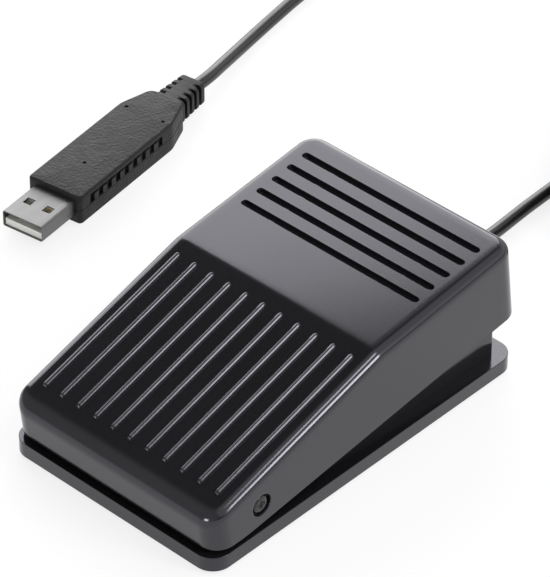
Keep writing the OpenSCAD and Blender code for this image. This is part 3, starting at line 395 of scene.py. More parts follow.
tread_top = tread_z(tread_y) + bead_rise(tread_x, tread_y) - slot_fall(tread_x, tread_y)
tread_points = np.stack([tread_x, tread_y, tread_top], -1)
treads = (tread_points.reshape(-1, 3), grid_quads(*tread_x.shape, wrap_columns=False).reshape(-1, 4))
print("the treads' grid is", tread_x.shape)


# %% The pedal's outline and its lower edge
def border_of(grid):
    """The grid's outer points as one loop, along its first row, its last column, and back along the other two."""
    return np.concatenate([grid[0, :-1], grid[:-1, -1], grid[-1, :0:-1], grid[:0:-1, 0]])


def skirt_edge(place):
    """Height of the skirt's lower edge: level, climbing in a short run to the front, with an arch over the lead."""
    x, y = place[:, 0], place[:, 1]
    relief = FRONT_RELIEF * np.clip((PEDAL_Y0 + FRONT_RUN - y) / FRONT_RUN, 0, 1)
    arch = SKIRT_Z + ARCH_UP + np.sqrt(np.maximum(ARCH_R**2 - x**2, 0))
    return np.where((y > PEDAL_Y1 - ARCH_DEEP) & (np.abs(x) < ARCH_HALF), arch, SKIRT_Z + relief)


border = border_of(tread_points)
core = np.column_stack([np.clip(border[:, 0], -PEDAL_X + PEDAL_R, PEDAL_X - PEDAL_R),
                        np.clip(border[:, 1], PEDAL_Y0 + PEDAL_R, PEDAL_Y1 - PEDAL_R)])
outward = border[:, :2] - core
outward = outward / np.linalg.norm(outward, axis=1)[:, None]
outline = core + PEDAL_R * outward
edge_z = skirt_edge(outline)
print("the skirt's lower edge runs between", edge_z.min().round(2), "and", edge_z.max().round(2), "mm")

# %% The rim of the pedal, from its round edge to the ceiling inside
LIP = 0.05
OUTER_SHARES = np.concatenate([[0.09], np.linspace(0.179, 0.909, WINDOW_ROWS), [1.0]])
INNER_SHARES = np.concatenate([np.linspace(0.089, 0.8, WINDOW_ROWS), [1.0]])


def rim_loop(inset, height):
    """The pedal's outline drawn in by inset, at a height for each of its points."""
    inset = np.broadcast_to(inset, len(outline))[:, None]
    return np.column_stack([outline - outward * inset, np.broadcast_to(height, len(outline))])


def tread_at(inset):
    """Height of the plain treads over the outline drawn in by inset."""
    return tread_z(outline[:, 1] - outward[:, 1] * inset)


edge_r = EDGE_R + (FRONT_EDGE_R - EDGE_R) * np.clip(-outward[:, 1], 0, 1)**2
rim = [border]
for angle in np.radians(np.linspace(0, 90, 13)):
    inset = edge_r * (1 - np.sin(angle))
    rim.append(rim_loop(inset, tread_at(inset) - edge_r * (1 - np.cos(angle))))
wall_top, wall_low = tread_at(0) - edge_r, edge_z + LIP
outer_first = len(rim) + 1
for share in OUTER_SHARES:
    rim.append(rim_loop(0, wall_top + (wall_low - wall_top) * share))
rim += [rim_loop(0, edge_z), rim_loop(PEDAL_WALL, edge_z)]
ceiling = tread_at(PEDAL_WALL) - PEDAL_WALL
inner_first = len(rim)
for share in INNER_SHARES:
    rim.append(rim_loop(PEDAL_WALL, wall_low + (ceiling - wall_low) * share))
spine_y = np.clip(border[:, 1], y_front, y_rear)
rim.append(np.column_stack([np.zeros(len(border)), spine_y, tread_z(spine_y) - PEDAL_WALL]))
rim = np.array(rim)
print("the rim has", rim.shape[0], "loops of", rim.shape[1], "points")

# %% [markdown]
# ## The screw recesses
# On each side a screw sits in a round recess, and behind it the pedal turns on a boss. The rim's quads leave a square
# window there, outside and inside. A fan of loops closes it: from the square to the recess, down to the screw's bore,
# through the wall to the boss, and out to the square on the inner side.

# %% The recesses
RECESS_RIM = [(3.2, 31.7), (2.98, 31.7), (2.86, 31.65), (2.8, 31.5)]
RECESS_BORE = [(2.8, 30.4), (2.05, 30.4), (2.05, 28.3)]
BOSS = [(4.4, 28.3), (4.4, 29.3)]
HINGE = np.array([HINGE_Y, HINGE_Z])


def from_hinge(loop):
    """Unit directions, across the hinge's axis, from the axis to each point of a loop."""
    offset = loop[:, 1:] - HINGE
    return offset / np.linalg.norm(offset, axis=1)[:, None]


def window_loop(first_row, columns):
    """The points round a window of the rim, run along its first row, down, back and up."""
    return border_of(rim[first_row:first_row + WINDOW_ROWS][:, columns])


def hinge_fan(columns, side):
    """Loops from the outer window to the inner one, each point keeping its direction from the hinge's axis.
    The inner loop is turned to start at the direction of the outer one, and reversed where it runs the other way."""
    outer, inner = window_loop(outer_first, columns), window_loop(inner_first, columns)
    direction = from_hinge(outer)
    loops = [np.column_stack([np.full(len(direction), side * x), HINGE + radius * direction])
             for radius, x in RECESS_RIM + RECESS_BORE + BOSS]
    start = np.argmin(np.linalg.norm(from_hinge(inner) - direction[0], axis=1))
    inner = np.roll(inner, -start, axis=0)
    if from_hinge(inner)[1] @ direction[1] < 0.9:
        inner = np.concatenate([inner[:1], inner[:0:-1]])
    return loft([outer, *loops, inner], False, False)


window_low, window_high = np.abs(y_lines - window_y[0]).argmin(), np.abs(y_lines - window_y[-1]).argmin()
front_count, rim_count = len(x_lines) - 1, rim.shape[1]
right_columns = np.arange(front_count + window_low, front_count + window_high + 1)
left_columns = np.arange(rim_count - window_high, rim_count - window_low + 1)
print("a window takes", len(right_columns), "columns of the rim")

# %% The pedal as one piece
rim_quads = grid_quads(rim.shape[0], rim.shape[1])
keep = np.ones(rim_quads.shape[:2], bool)
for first_row in (outer_first, inner_first):
    for columns in (right_columns, left_columns):
        keep[first_row:first_row + WINDOW_ROWS - 1, columns[0]:columns[-1]] = False
rim_shell = (rim.reshape(-1, 3), rim_quads[keep])
pedal_shells = [treads, rim_shell, hinge_fan(right_columns, 1), hinge_fan(left_columns, -1)]
pedal_shells = [(lifted(points), quads) for points, quads in pedal_shells]
pedal = add_piece("pedal_skin", pedal_shells, "pedal", ["pedal_shell"], sharp=40)

# %% [markdown]
# ## Under the treads
# Inside the pedal a cup holds the top of the spring, a striker presses the switch's lever, and two ribs stiffen
# the treads. The cup moves back a little as it goes down with the pedal, so it is longer towards the front than
# the spring needs at rest. All stand upright while the pedal rests, so they are drawn at rest, and their tops run
# up into the sloping wall.


# %% Helpers for what stands upright
def rest_z(y, depth):
    """Height of the resting treads at a place y, less a depth: the treads are sampled, lifted and read off."""
    sample = np.linspace(PEDAL_Y0, PEDAL_Y1, 400)
    placed = lifted(np.column_stack([np.zeros(len(sample)), sample, tread_z(sample) - depth]))
    return np.interp(y, placed[:, 1], placed[:, 2])


def into_wall(y):
    """Height inside the treads' wall, about half way through it."""
    return rest_z(y, PEDAL_WALL / 2)


def circle_loop(centre, radius, height, sides=40, room=0.0):
    """A circle in plan, at a height that may follow y. Its front half may move forward, which leaves room there."""
    angle = np.linspace(0, 2 * np.pi, sides, endpoint=False)
    y = centre[1] + radius * np.sin(angle) - room * (np.sin(angle) < -0.001)
    level = height(y) if callable(height) else np.full(sides, float(height))
    return np.column_stack([centre[0] + radius * np.cos(angle), y, level])


def block_loop(low, high, height):
    """A small rectangle with round corners in plan, at one height."""
    loop = round_loop(low, high, 0.3, 3)
    return np.column_stack([loop, np.full(len(loop), float(height))])


# %% Pieces moulded under the treads
SPRING_AT = (0.0, -2.0)
CUP_IN, CUP_OUT, CUP_BEVEL, CUP_ROOM, CUP_LAP = 6.8, 8.3, 0.3, 1.4, 2.5
cup_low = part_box("return_spring")[1].z / MM - CUP_LAP
cup_rings = [(CUP_IN, cup_low), (CUP_OUT - CUP_BEVEL, cup_low), (CUP_OUT, cup_low + CUP_BEVEL),
             (CUP_OUT, into_wall), (CUP_IN, into_wall)]
spring_cup = loft([circle_loop(SPRING_AT, radius, height, room=CUP_ROOM) for radius, height in cup_rings],
                  False, False, wrap=True)
STRIKER_X, STRIKER_Y, STRIKER_Z, STRIKER_R = (-13.5, -6.5), 34.66, 30.7, 1.2
half_turn = np.linspace(np.pi, 2 * np.pi, 13)
striker_y = STRIKER_Y + STRIKER_R * np.append(np.cos(half_turn), [1, -1])
striker_z = np.append(STRIKER_Z + STRIKER_R * np.sin(half_turn), into_wall(striker_y[-2:]))
striker = loft([np.column_stack([np.full(len(striker_y), x), striker_y, striker_z]) for x in STRIKER_X])
RIB_X, RIB_HALF, RIB_Y0, RIB_Y1, RIB_DEEP, RIB_SUNK = 18, 0.8, -26.0, 43.0, 5.0, 1.2
rib_y = np.linspace(RIB_Y0, RIB_Y1, 41)


def stiff_rib(middle):
    """A thin wall along the treads: its four long edges follow them at two depths, and a section joins the edges."""
    corners = [(-RIB_HALF, RIB_DEEP), (RIB_HALF, RIB_DEEP), (RIB_HALF, RIB_SUNK), (-RIB_HALF, RIB_SUNK)]
    edges = [np.column_stack([np.full(len(rib_y), middle + x), rib_y, rest_z(rib_y, depth)])
             for x, depth in corners]
    return loft(np.stack(edges, 1))


pedal_inside = add_piece("pedal_inside", [spring_cup, striker, stiff_rib(-RIB_X), stiff_rib(RIB_X)],
                         "pedal")

# %% [markdown]
# ## The base
# The base is a plate with a riser box that closes the space under the pedal. One run of loops makes both: under
# the plate, round its edge, in to the riser, up, over its sloping top and down again to the floor inside.
# A loop held close beside the plate's edge keeps the flat faces flat in smooth shading.
# Hinge ears, the spring's post, the switch's wall and the lead's clamp posts stand on that floor as shells of
# their own.

# %% The base plate and its riser
PLATE_Z, PLATE_TOP, PLATE_EDGE_R, PLATE_HOLD = 1.0, 4.9, 0.1, 0.2
RISER_WALL, RISER_EDGE_Y, RISER_EDGE_Z = 2.2, (-45, RISER_REAR + 1), (11.9, 20.9)


def plan_loop(half, front, rear, radius, inset, height):
    """A rectangle with round corners in plan, drawn in by inset, at one height. A corner keeps a least radius."""
    loop = round_loop((-half + inset, front + inset), (half - inset, rear - inset), max(radius - inset, 0.4), 10)
    return np.column_stack([loop, np.full(len(loop), float(height))])


plate, riser = (31.9, -50.5, 50.5, 4.9), (28, -44, RISER_REAR, 0.8)


def riser_loop(inset, down):
    """The riser's outline drawn in by inset, a little below its upper edge, which climbs evenly to the rear."""
    loop = plan_loop(*riser, inset, 0)
    loop[:, 2] = np.interp(loop[:, 1], RISER_EDGE_Y, RISER_EDGE_Z) - down
    return loop


base_loops = [plan_loop(*plate, PLATE_HOLD, PLATE_Z), plan_loop(*plate, PLATE_EDGE_R, PLATE_Z),
              plan_loop(*plate, 0, PLATE_Z + PLATE_EDGE_R), plan_loop(*plate, 0, PLATE_Z + PLATE_HOLD),
              plan_loop(*plate, 0, PLATE_TOP - PLATE_HOLD)]
for angle in np.radians([0, 30, 60, 90]):
    inset, down = PLATE_EDGE_R * (1 - np.cos(angle)), PLATE_EDGE_R * (1 - np.sin(angle))
    base_loops.append(plan_loop(*plate, inset, PLATE_TOP - down))
base_loops += [plan_loop(*plate, PLATE_HOLD, PLATE_TOP), plan_loop(*riser, 0, PLATE_TOP)]
base_loops += [riser_loop(inset, down) for inset, down in [(0, 0.4), (0.12, 0.12), (0.4, 0)]]
base_loops += [riser_loop(RISER_WALL - inset, down) for inset, down in [(0.4, 0), (0.12, 0.12), (0, 0.4)]]
base_loops.append(plan_loop(*riser, RISER_WALL, PLATE_TOP))
base_shells = [loft(base_loops)]
print("the base plate and riser have", len(base_loops), "loops")

# %% What stands on the base's floor
SUNK = PLATE_TOP - 0.5
EAR_X, EAR_R = (21, 28.02), 4.4
SPRING_POST = [(4.8, SUNK), (4.8, 7.9), (4.3, 8.4)]
SWITCH_WALL, SWITCH_WALL_TOP = ((-16.7, 13.5), (-13.2, 31.3)), 16.6
CLAMP_SEAT, CLAMP_SEAT_TOP = ((-2.3, CLAMP_Y - 2.25), (2.3, CLAMP_Y + 2.25)), 7.7
CLAMP_POST_X, CLAMP_POST_R, CLAMP_POST_TOP = 5.5, 2.3, 9.2
ear_turn = np.linspace(0, np.pi, 21)
ear_y = HINGE_Y + EAR_R * np.append(np.cos(ear_turn), [-1, 1])
ear_z = np.append(HINGE_Z + EAR_R * np.sin(ear_turn), [SUNK, SUNK])
for side in (-1, 1):
    base_shells.append(loft([np.column_stack([np.full(len(ear_y), side * x), ear_y, ear_z]) for x in EAR_X]))
base_shells.append(loft([circle_loop(SPRING_AT, radius, z) for radius, z in SPRING_POST]))
base_shells.append(loft([block_loop(*SWITCH_WALL, z) for z in (SUNK, SWITCH_WALL_TOP)]))
base_shells.append(loft([block_loop(*CLAMP_SEAT, z) for z in (SUNK, CLAMP_SEAT_TOP)]))
for x in (-CLAMP_POST_X, CLAMP_POST_X):
    base_shells.append(loft([circle_loop((x, CLAMP_Y), CLAMP_POST_R, z, 24) for z in (SUNK, CLAMP_POST_TOP)]))
base = add_piece("base_skin", base_shells, "base", ["base_tray"])

# %% [markdown]
# ## Hinge screws
# Each screw has a thread, a plain shoulder that the pedal turns on, and a low domed head with a cross.
# A lathe turns the profile, and the face is a field over the radius and the angle, so that dome and cross are one
# formula.

# %% Hinge screws
SCREW_SIDES = 64
HEAD_R, HEAD_ROUND, HEAD_DROP, HEAD_LOW, HEAD_TOP = 2.25, 0.9, 0.6, 30.5, 31.5
CROSS_HALF, CROSS_REACH, CROSS_DEEP, CROSS_FLANK = 0.3, 1.05, 0.4, 0.2
THREAD_X, THREAD_R, THREAD_DEEP, THREAD_STEP, THREAD_RINGS = 22, 1.5, 0.22, 0.25, 25
SHOULDER_X, SHOULDER_R = 28.2, 2
screw_angle = np.linspace(0, 2 * np.pi, SCREW_SIDES, endpoint=False)


def turn_rings(profile):
    """Rings about the X axis through the hinge: each pair of the profile is a radius and a place along X."""
    radius, along = np.asarray(profile, float).T[:, :, None]
    return np.stack([np.broadcast_to(along, (len(along), SCREW_SIDES)),
                     HINGE_Y + radius * np.cos(screw_angle), HINGE_Z + radius * np.sin(screw_angle)], -1)


def screw_face():
    """A domed face with a cross pressed into it. Over the outer part of the radius, u from 0 to 1, the dome drops
    by 1 - root(1 - u squared), which is a quarter of an ellipse. The cross is the nearer of two bars, with sloping
    flanks."""
    rounded = HEAD_R - HEAD_ROUND * (1 - np.cos(np.linspace(0, np.pi / 2, 13)))
    radius = np.concatenate([rounded, np.linspace(rounded[-1] - 0.07, 0.05, 18)])[:, None]
    y, z = radius * np.cos(screw_angle), radius * np.sin(screw_angle)
    outer = np.clip((radius - HEAD_R + HEAD_ROUND) / HEAD_ROUND, 0, 1)
    dome = HEAD_DROP * (1 - np.sqrt(1 - outer**2))
    upright_bar = np.maximum(np.abs(y) - CROSS_HALF, np.abs(z) - CROSS_REACH)
    level_bar = np.maximum(np.abs(z) - CROSS_HALF, np.abs(y) - CROSS_REACH)
    cross = CROSS_DEEP * np.clip(0.5 - np.minimum(upright_bar, level_bar) / CROSS_FLANK, 0, 1)
    return np.stack([HEAD_TOP - dome - cross, HINGE_Y + y, HINGE_Z + z], -1)


ring = np.arange(THREAD_RINGS)
thread = np.column_stack([THREAD_R - THREAD_DEEP * (ring % 2), THREAD_X + THREAD_STEP * ring])
screw_rings = turn_rings([(0.9, THREAD_X - 0.1), *thread, (SHOULDER_R, SHOULDER_X), (SHOULDER_R, HEAD_LOW),
                          (HEAD_R - 0.1, HEAD_LOW), (HEAD_R, HEAD_LOW + 0.1)])
screw_right = np.concatenate([screw_rings, screw_face()])
screw_left = screw_right * [-1, 1, 1]
hinge_pins = add_piece("hinge_pins", [loft(screw_right), loft(screw_left)], "base",
                       ["hinge_screws"], sharp=50)

# %% [markdown]
# ## Spring and wires
# A coil spring lifts the pedal. Its end turns lie close and its middle turns climb, so the climb is a cosine.
# When the pedal goes down the spring shortens. Two thin wires join the switch to the lead.

# %% Spring and wires
SPRING_TURNS, SPRING_R, SPRING_WIRE_R, SPRING_Z, SPRING_RISE = 6, 5.8, 0.7, 5.65, 19.5
WIRE_R, WIRE_STEP = 0.6, 0.8
spring_part = np.linspace(0, 1, SPRING_TURNS * 40 + 1)
spring_angle = 2 * np.pi * SPRING_TURNS * spring_part
spring_line = np.column_stack([SPRING_R * np.cos(spring_angle), SPRING_AT[1] + SPRING_R * np.sin(spring_angle),
                               SPRING_Z + SPRING_RISE * (1 - np.cos(np.pi * spring_part)) / 2])
spring = add_piece("spring_coil", [tube(spring_line, SPRING_WIRE_R, 12)], "base", ["return_spring"])


def add_wire(name, knots):
    """One thin wire: a round bar along a smooth path through its knots."""
    return add_piece(name, [tube(smooth_path(knots, WIRE_STEP), WIRE_R, 12)], "base", ["signal_wires"])


wire_red = add_wire("wire_red", [[-9.7, 14.8, 7.36], [-5, 14.8, 7.36], [-1.5, 17.8, 7.76], [0.2, 22.8, 8.76],
                                 [0.8, JACKET_Y - 5, OUTLET_Z], [0.8, JACKET_Y, OUTLET_Z]])
wire_pale = add_wire("wire_pale", [[-9.7, 30.7, 7.36], [-5, 29.1, 7.36], [-2, 29.5, 8.56],
                                   [-0.8, JACKET_Y - 2, OUTLET_Z], [-0.8, JACKET_Y, OUTLET_Z]])

# %% [markdown]
# ## The grommet
# Where the lead leaves the base, a rubber bush sits in the wall, and its nose tapers onto the lead. Shallow grooves
# round the nose let it bend. It is a turned shape, so a profile of radii along the lead is enough.

# %% The grommet
BUSH_BORE_R, NOSE_R, NOSE_TAPER, NOSE_RUN = 1.72, 3.2, 0.8, 8.9
GROOVES, GROOVE_DEEP, GROOVE_SHIFT, GROOVE_STEEP, GROOVE_END = 4, 0.32, 0.2, 3, 0.97
BUSH_SIDES = 48
nose_part = np.linspace(0, 1, 61)
groove_wave = np.sin(2 * np.pi * (nose_part * GROOVES - GROOVE_SHIFT))
groove = GROOVE_DEEP * np.clip(groove_wave * GROOVE_STEEP, 0, 1) * (nose_part < GROOVE_END)
nose = np.column_stack([NOSE_R - NOSE_TAPER * nose_part - groove, NOSE_Y + 0.1 + NOSE_RUN * nose_part])
bush_inside = [(BUSH_BORE_R, -3.5), (4.3, -3.5), (4.5, -3.3), (4.5, -2.2)]
bush_neck = [(3.2, -2.2), (3.2, 0)]
bush_outside = [(4.5, 0), (4.5, 1), (4.2, 1.3), (3.3, 1.3)]
bush = np.array(bush_inside + bush_neck + bush_outside) + [0, RISER_REAR]
bush_radius, bush_along = np.concatenate([bush, nose, [(BUSH_BORE_R, NOSE_END)]]).T[:, :, None]
bush_angle = np.linspace(0, 2 * np.pi, BUSH_SIDES, endpoint=False)
bush_rings = np.stack([bush_radius * np.cos(bush_angle), np.broadcast_to(bush_along, (len(bush_along), BUSH_SIDES)),
                       OUTLET_Z + bush_radius * np.sin(bush_angle)], -1)
grommet = add_piece("lead_grommet", [loft(bush_rings, False, False, wrap=True)], "base",
                    ["cable_grommet"])

# %% [markdown]
# ## The plug's housing
# The plug is a long flat box of two halves with a matte, sparked finish. Its rear shoulders are round, and a
# channel with standing teeth runs along each side as a grip. Its plan is one outline with its outward directions,
# so every loop is the outline drawn in by some inset, and the grip is an inset that depends on the place along the
# side.

# %% The housing's outline
HOUSING_HALF, HOUSING_Y0, HOUSING_Y1, HOUSING_H, PLUG_MID = 8.0, 12.5, 59.0, 8.2, 4.1
FRONT_CORNER_R, SIDE_END, BEND_R, REAR_R, REAR_X = 1.2, 49.0, 6.0, 2.6, 3.2
SHOULDER_TURN = np.radians(17.76)
GRIP_Y, GRIP_PITCH, GRIP_TOOTH, GRIP_DEEP, GRIP_GAPS = 16.5, 3.45, 1.8, 0.8, 9
GRIP_STEP, NEAR = 0.06, 1e-6
gap_low = GRIP_Y + GRIP_PITCH * np.arange(GRIP_GAPS)
gap_high = gap_low + GRIP_PITCH - GRIP_TOOTH
side_y = np.unique(np.concatenate([[HOUSING_Y0 + FRONT_CORNER_R, SIDE_END], gap_low, gap_low - GRIP_STEP,
                                   gap_high, gap_high + GRIP_STEP, np.arange(15, 49, 2.0)]))


def arc(centre, radius, start, stop, steps):
    """Points of an arc and their outward directions."""
    angle = np.linspace(start, stop, steps)
    direction = np.column_stack([np.cos(angle), np.sin(angle)])
    return centre + radius * direction, direction


corner_points, corner_out = arc([HOUSING_HALF - FRONT_CORNER_R, HOUSING_Y0 + FRONT_CORNER_R], FRONT_CORNER_R,
                                -np.pi / 2, 0, 7)
bend_points, bend_out = arc([HOUSING_HALF - BEND_R, SIDE_END], BEND_R, 0, SHOULDER_TURN, 6)
rear_points, rear_out = arc([REAR_X, HOUSING_Y1 - REAR_R], REAR_R, SHOULDER_TURN, np.pi / 2, 9)
side_points = np.column_stack([np.full(len(side_y), HOUSING_HALF), side_y])
side_out = np.tile([1.0, 0.0], (len(side_y), 1))
right_points = np.concatenate([corner_points[:-1], side_points[:-1], bend_points, rear_points])
right_out = np.concatenate([corner_out[:-1], side_out[:-1], bend_out, rear_out])
plug_outline = np.concatenate([right_points, right_points[::-1] * [-1, 1]])
plug_out = np.concatenate([right_out, right_out[::-1] * [-1, 1]])
outline_y = plug_outline[:, 1]
in_gap = ((outline_y[:, None] >= gap_low - NEAR) & (outline_y[:, None] <= gap_high + NEAR)).any(1)
in_channel = (outline_y >= gap_low[0] - NEAR) & (outline_y <= gap_high[-1] + NEAR)
on_side = np.abs(plug_out[:, 0]) > 0.999
gap_inset = GRIP_DEEP * (in_gap & on_side)
channel_inset = GRIP_DEEP * (in_channel & on_side)
print("the housing's outline has", len(plug_outline), "points")

# %% The housing's two halves
HOUSING_EDGE_R, HOUSING_WALL, HOUSING_TOP_WALL = 0.7, 1.1, 1.4
CHANNEL_TOP, TOOTH_TOP, TOOTH_LOW, EDGE_STEP, TINY = 6.9, 6.3, 4.3, 0.05, 0.01
SEAM, SEAM_IN = 0.12, 0.14
SPINE_Y0, SPINE_Y1 = 20, 50


def housing_loop(inset, z):
    """The housing's outline drawn in by inset, which may differ from point to point, at one height."""
    place = plug_outline - plug_out * np.broadcast_to(inset, len(plug_outline))[:, None]
    return np.column_stack([place, np.full(len(place), float(z))])


def housing_spine(z):
    """The line down the middle that closes a face: each point of the outline moves across to it."""
    y = np.clip(outline_y, SPINE_Y0, SPINE_Y1)
    return np.column_stack([np.zeros(len(y)), y, np.full(len(y), float(z))])


def half_end(z):
    """The loops that end a half: in over the seam, up or down its inner wall, and across to the middle."""
    return [housing_loop(SEAM_IN, PLUG_MID), housing_loop(HOUSING_WALL, PLUG_MID), housing_loop(HOUSING_WALL, z),
            housing_spine(z)]


edge_turn = np.radians(np.linspace(0, 90, 6))
round_edge = HOUSING_EDGE_R * np.column_stack([1 - np.sin(edge_turn), 1 - np.cos(edge_turn)])
upper = [housing_spine(HOUSING_H)] + [housing_loop(inset, HOUSING_H - down) for inset, down in round_edge]
upper += [housing_loop(0, CHANNEL_TOP + EDGE_STEP), housing_loop(EDGE_STEP, CHANNEL_TOP),
          housing_loop(channel_inset, CHANNEL_TOP - TINY), housing_loop(channel_inset, TOOTH_TOP),
          housing_loop(gap_inset, TOOTH_TOP - TINY), housing_loop(gap_inset, TOOTH_LOW + TINY),
          housing_loop(0, TOOTH_LOW), housing_loop(0, PLUG_MID + SEAM), *half_end(HOUSING_H - HOUSING_TOP_WALL)]
lower = [housing_spine(0)] + [housing_loop(inset, up) for inset, up in round_edge]
lower += [housing_loop(0, PLUG_MID - SEAM), *half_end(HOUSING_TOP_WALL)]
upper_half = add_piece("plug_upper", [loft(plug_place(upper), False, False)], "base",
                       ["plug_upper_shell"], sharp=30)
lower_half = add_piece("plug_lower", [loft(plug_place(lower), False, False)], "base",
                       ["plug_lower_shell"], sharp=30)

# %% Pin holes in the housing's top
PIN_HOLES = [(-5.6, 49.3), (5.6, 49.3), (0, 24.8)]
PIN_RINGS = [(0.4, 7.6), (0.45, 8.1), (0.6, 8.4)]


def cut_away(piece, shells):
    """Cuts closed shells out of a piece with an exact Boolean, applied so that no modifier stays on it."""
    cutter = add_piece("cutter", shells, "base")
    cut = piece.modifiers.new("cut", "BOOLEAN")
    cut.operation, cut.solver, cut.object = "DIFFERENCE", "EXACT", cutter
    bpy.context.view_layer.update()
    shown = piece.evaluated_get(bpy.context.evaluated_depsgraph_get())
    mesh = bpy.data.meshes.new_from_object(shown)
    piece.modifiers.clear()
    piece.data = mesh
    bpy.data.objects.remove(cutter)


def pin_shell(place):
    """A short turned pin that opens towards its top."""
    return loft(plug_place([circle_loop(place, radius, z, 20) for radius, z in PIN_RINGS]))


cut_away(upper_half, [pin_shell(place) for place in PIN_HOLES])
upper_half.data.set_sharp_from_angle(angle=np.radians(30))
print("the upper half has", len(upper_half.data.polygons), "faces with its pin holes")

# %% [markdown]
# ## Strain relief and metal shell
# Behind the housing a flat rubber sleeve with notched sides lets the lead bend. In front stands the folded steel
# shell with two square windows above and below. The sleeve is a run of rounded cross sections whose width steps in
# at each notch. The shell is an outer and an inner skin on the same grid, with the windows' cells left out and
# their edges walled.

# %% The strain relief
SLEEVE_LONG, SLEEVE_WIDE, SLEEVE_TAPER, SLEEVE_TALL, SLEEVE_R = 10.5, 4.5, 0.8, 3.1, 1.1
NOTCHES, NOTCH_LONG, NOTCH_WIDE, NOTCH_Y = 4, 1.1, 2.4, 60.1
sleeve = [(57.5, 4.3), (58.9, 4.4), (59.05, SLEEVE_WIDE)]
for notch_y in NOTCH_Y + (SLEEVE_LONG - 1.6) / NOTCHES * np.arange(NOTCHES):
    wide = SLEEVE_WIDE - SLEEVE_TAPER * (notch_y - HOUSING_Y1) / SLEEVE_LONG
    notch_end = notch_y + NOTCH_LONG
    sleeve += [(notch_y - 0.12, wide), (notch_y, wide - 0.1), (notch_y + 0.06, NOTCH_WIDE),
               (notch_end - 0.06, NOTCH_WIDE), (notch_end, wide - 0.2), (notch_end + 0.12, wide - 0.1)]
sleeve += [(69.2, 3.72), (69.42, 3.6), (69.5, 3.4)]


def sleeve_loop(y, wide):
    """A rounded rectangle across the sleeve. A narrow section gets a smaller corner."""
    loop = round_loop((-wide, -SLEEVE_TALL), (wide, SLEEVE_TALL), min(SLEEVE_R, wide * 0.35), 5)
    return np.column_stack([-loop[:, 0], np.full(len(loop), y), PLUG_MID + loop[:, 1]])


relief = add_piece("plug_sleeve", [loft(plug_place([sleeve_loop(y, wide) for y, wide in sleeve]))], "base",
                   ["plug_strain_relief"], sharp=30)

# %% The metal shell's two skins
SHELL_HALF, SHELL_TALL, SHELL_FOLD, SHELL_SHEET = 6.0, 2.25, 0.6, 0.3
WINDOW_X0, WINDOW_X1, WINDOW_ROW = 1.75, 4.05, 2
SHELL_ROWS = np.array([0.0, 0.12, 5.4, 7.7, 12.5, 18.5])
MOUTH_FLARE = np.array([0.1, 0, 0, 0, 0, 0])


def shell_loop(inset):
    """The shell's cross section, drawn in by inset: flat above and below, with points at the windows' edges, and
    folds that are quarter circles about four fixed centres."""
    tall, fold = SHELL_TALL - inset, SHELL_FOLD - inset
    flat, fold_z = SHELL_HALF - SHELL_FOLD, tall - fold
    quarter = np.linspace(0, np.pi / 2, 7)
    across = np.array([flat, WINDOW_X1, WINDOW_X0, 0, -WINDOW_X0, -WINDOW_X1, -flat])
    top = np.column_stack([across, np.full(len(across), tall)])
    folds = [(-flat, fold_z, 0.5 * np.pi), (-flat, -fold_z, np.pi), (flat, -fold_z, 1.5 * np.pi), (flat, fold_z, 0)]
    corners = [np.column_stack([cx + fold * np.cos(quarter + turn), cz + fold * np.sin(quarter + turn)])
               for cx, cz, turn in folds]
    return np.concatenate([top, corners[0][1:], corners[1], -top[1:], corners[2][1:], corners[3][:-1]])


def shell_skin(inset, flare):
    """The cross section repeated along the plug: one loop for each row."""
    loops = [shell_loop(inset + more) for more in flare]
    return np.stack([np.column_stack([loop[:, 0], np.full(len(loop), y), PLUG_MID + loop[:, 1]])
                     for loop, y in zip(loops, SHELL_ROWS)])


outer_skin, inner_skin = shell_skin(0, MOUTH_FLARE), shell_skin(SHELL_SHEET, -MOUTH_FLARE)
rows, columns = outer_skin.shape[:2]
print("each skin of the shell has", rows, "rows of", columns, "points")

# %% The metal shell with its windows
skin_quads = grid_quads(rows, columns)
mouth = outer_skin[0]
next_mouth = np.roll(mouth, -1, axis=0)
cell_x = (mouth[:, 0] + next_mouth[:, 0]) / 2
cell_flat = np.abs(mouth[:, 2] - next_mouth[:, 2]) < NEAR
open_cells = np.zeros(skin_quads.shape[:2], bool)
open_cells[WINDOW_ROW] = cell_flat & (np.abs(np.abs(cell_x) - (WINDOW_X0 + WINDOW_X1) / 2) < 0.1)
shift = rows * columns


def wall_quads(first, second):
    """Quads that join edges of the outer skin, given by their two ends, to the same edges of the inner one."""
    return np.stack([first, second, second + shift, first + shift], -1)


window_corners = skin_quads[open_cells]
window_walls = wall_quads(window_corners, np.roll(window_corners, -1, axis=1)).reshape(-1, 4)
around = np.arange(columns)
end_walls = [wall_quads(row * columns + around, row * columns + (around + 1) % columns) for row in (0, rows - 1)]
shell_quads = np.concatenate([skin_quads[~open_cells], skin_quads[~open_cells] + shift, window_walls, *end_walls])
shell_points = plug_place(np.concatenate([outer_skin.reshape(-1, 3), inner_skin.reshape(-1, 3)]))
metal_shell = add_piece("plug_metal", [(shell_points, shell_quads)], "base",
                        ["usb_shell"], sharp=30)

# %% [markdown]
# ## Finishes
# Moulded plastic is never one flat colour: its surface has a fine grain from the mould, and slow patches where it
# cooled. Both come from noise on Object coordinates in one node group, which every finish places with its own
# scale and stretch. The shader itself stays in each material, and numbers that don't vary are set on its own
# sockets.


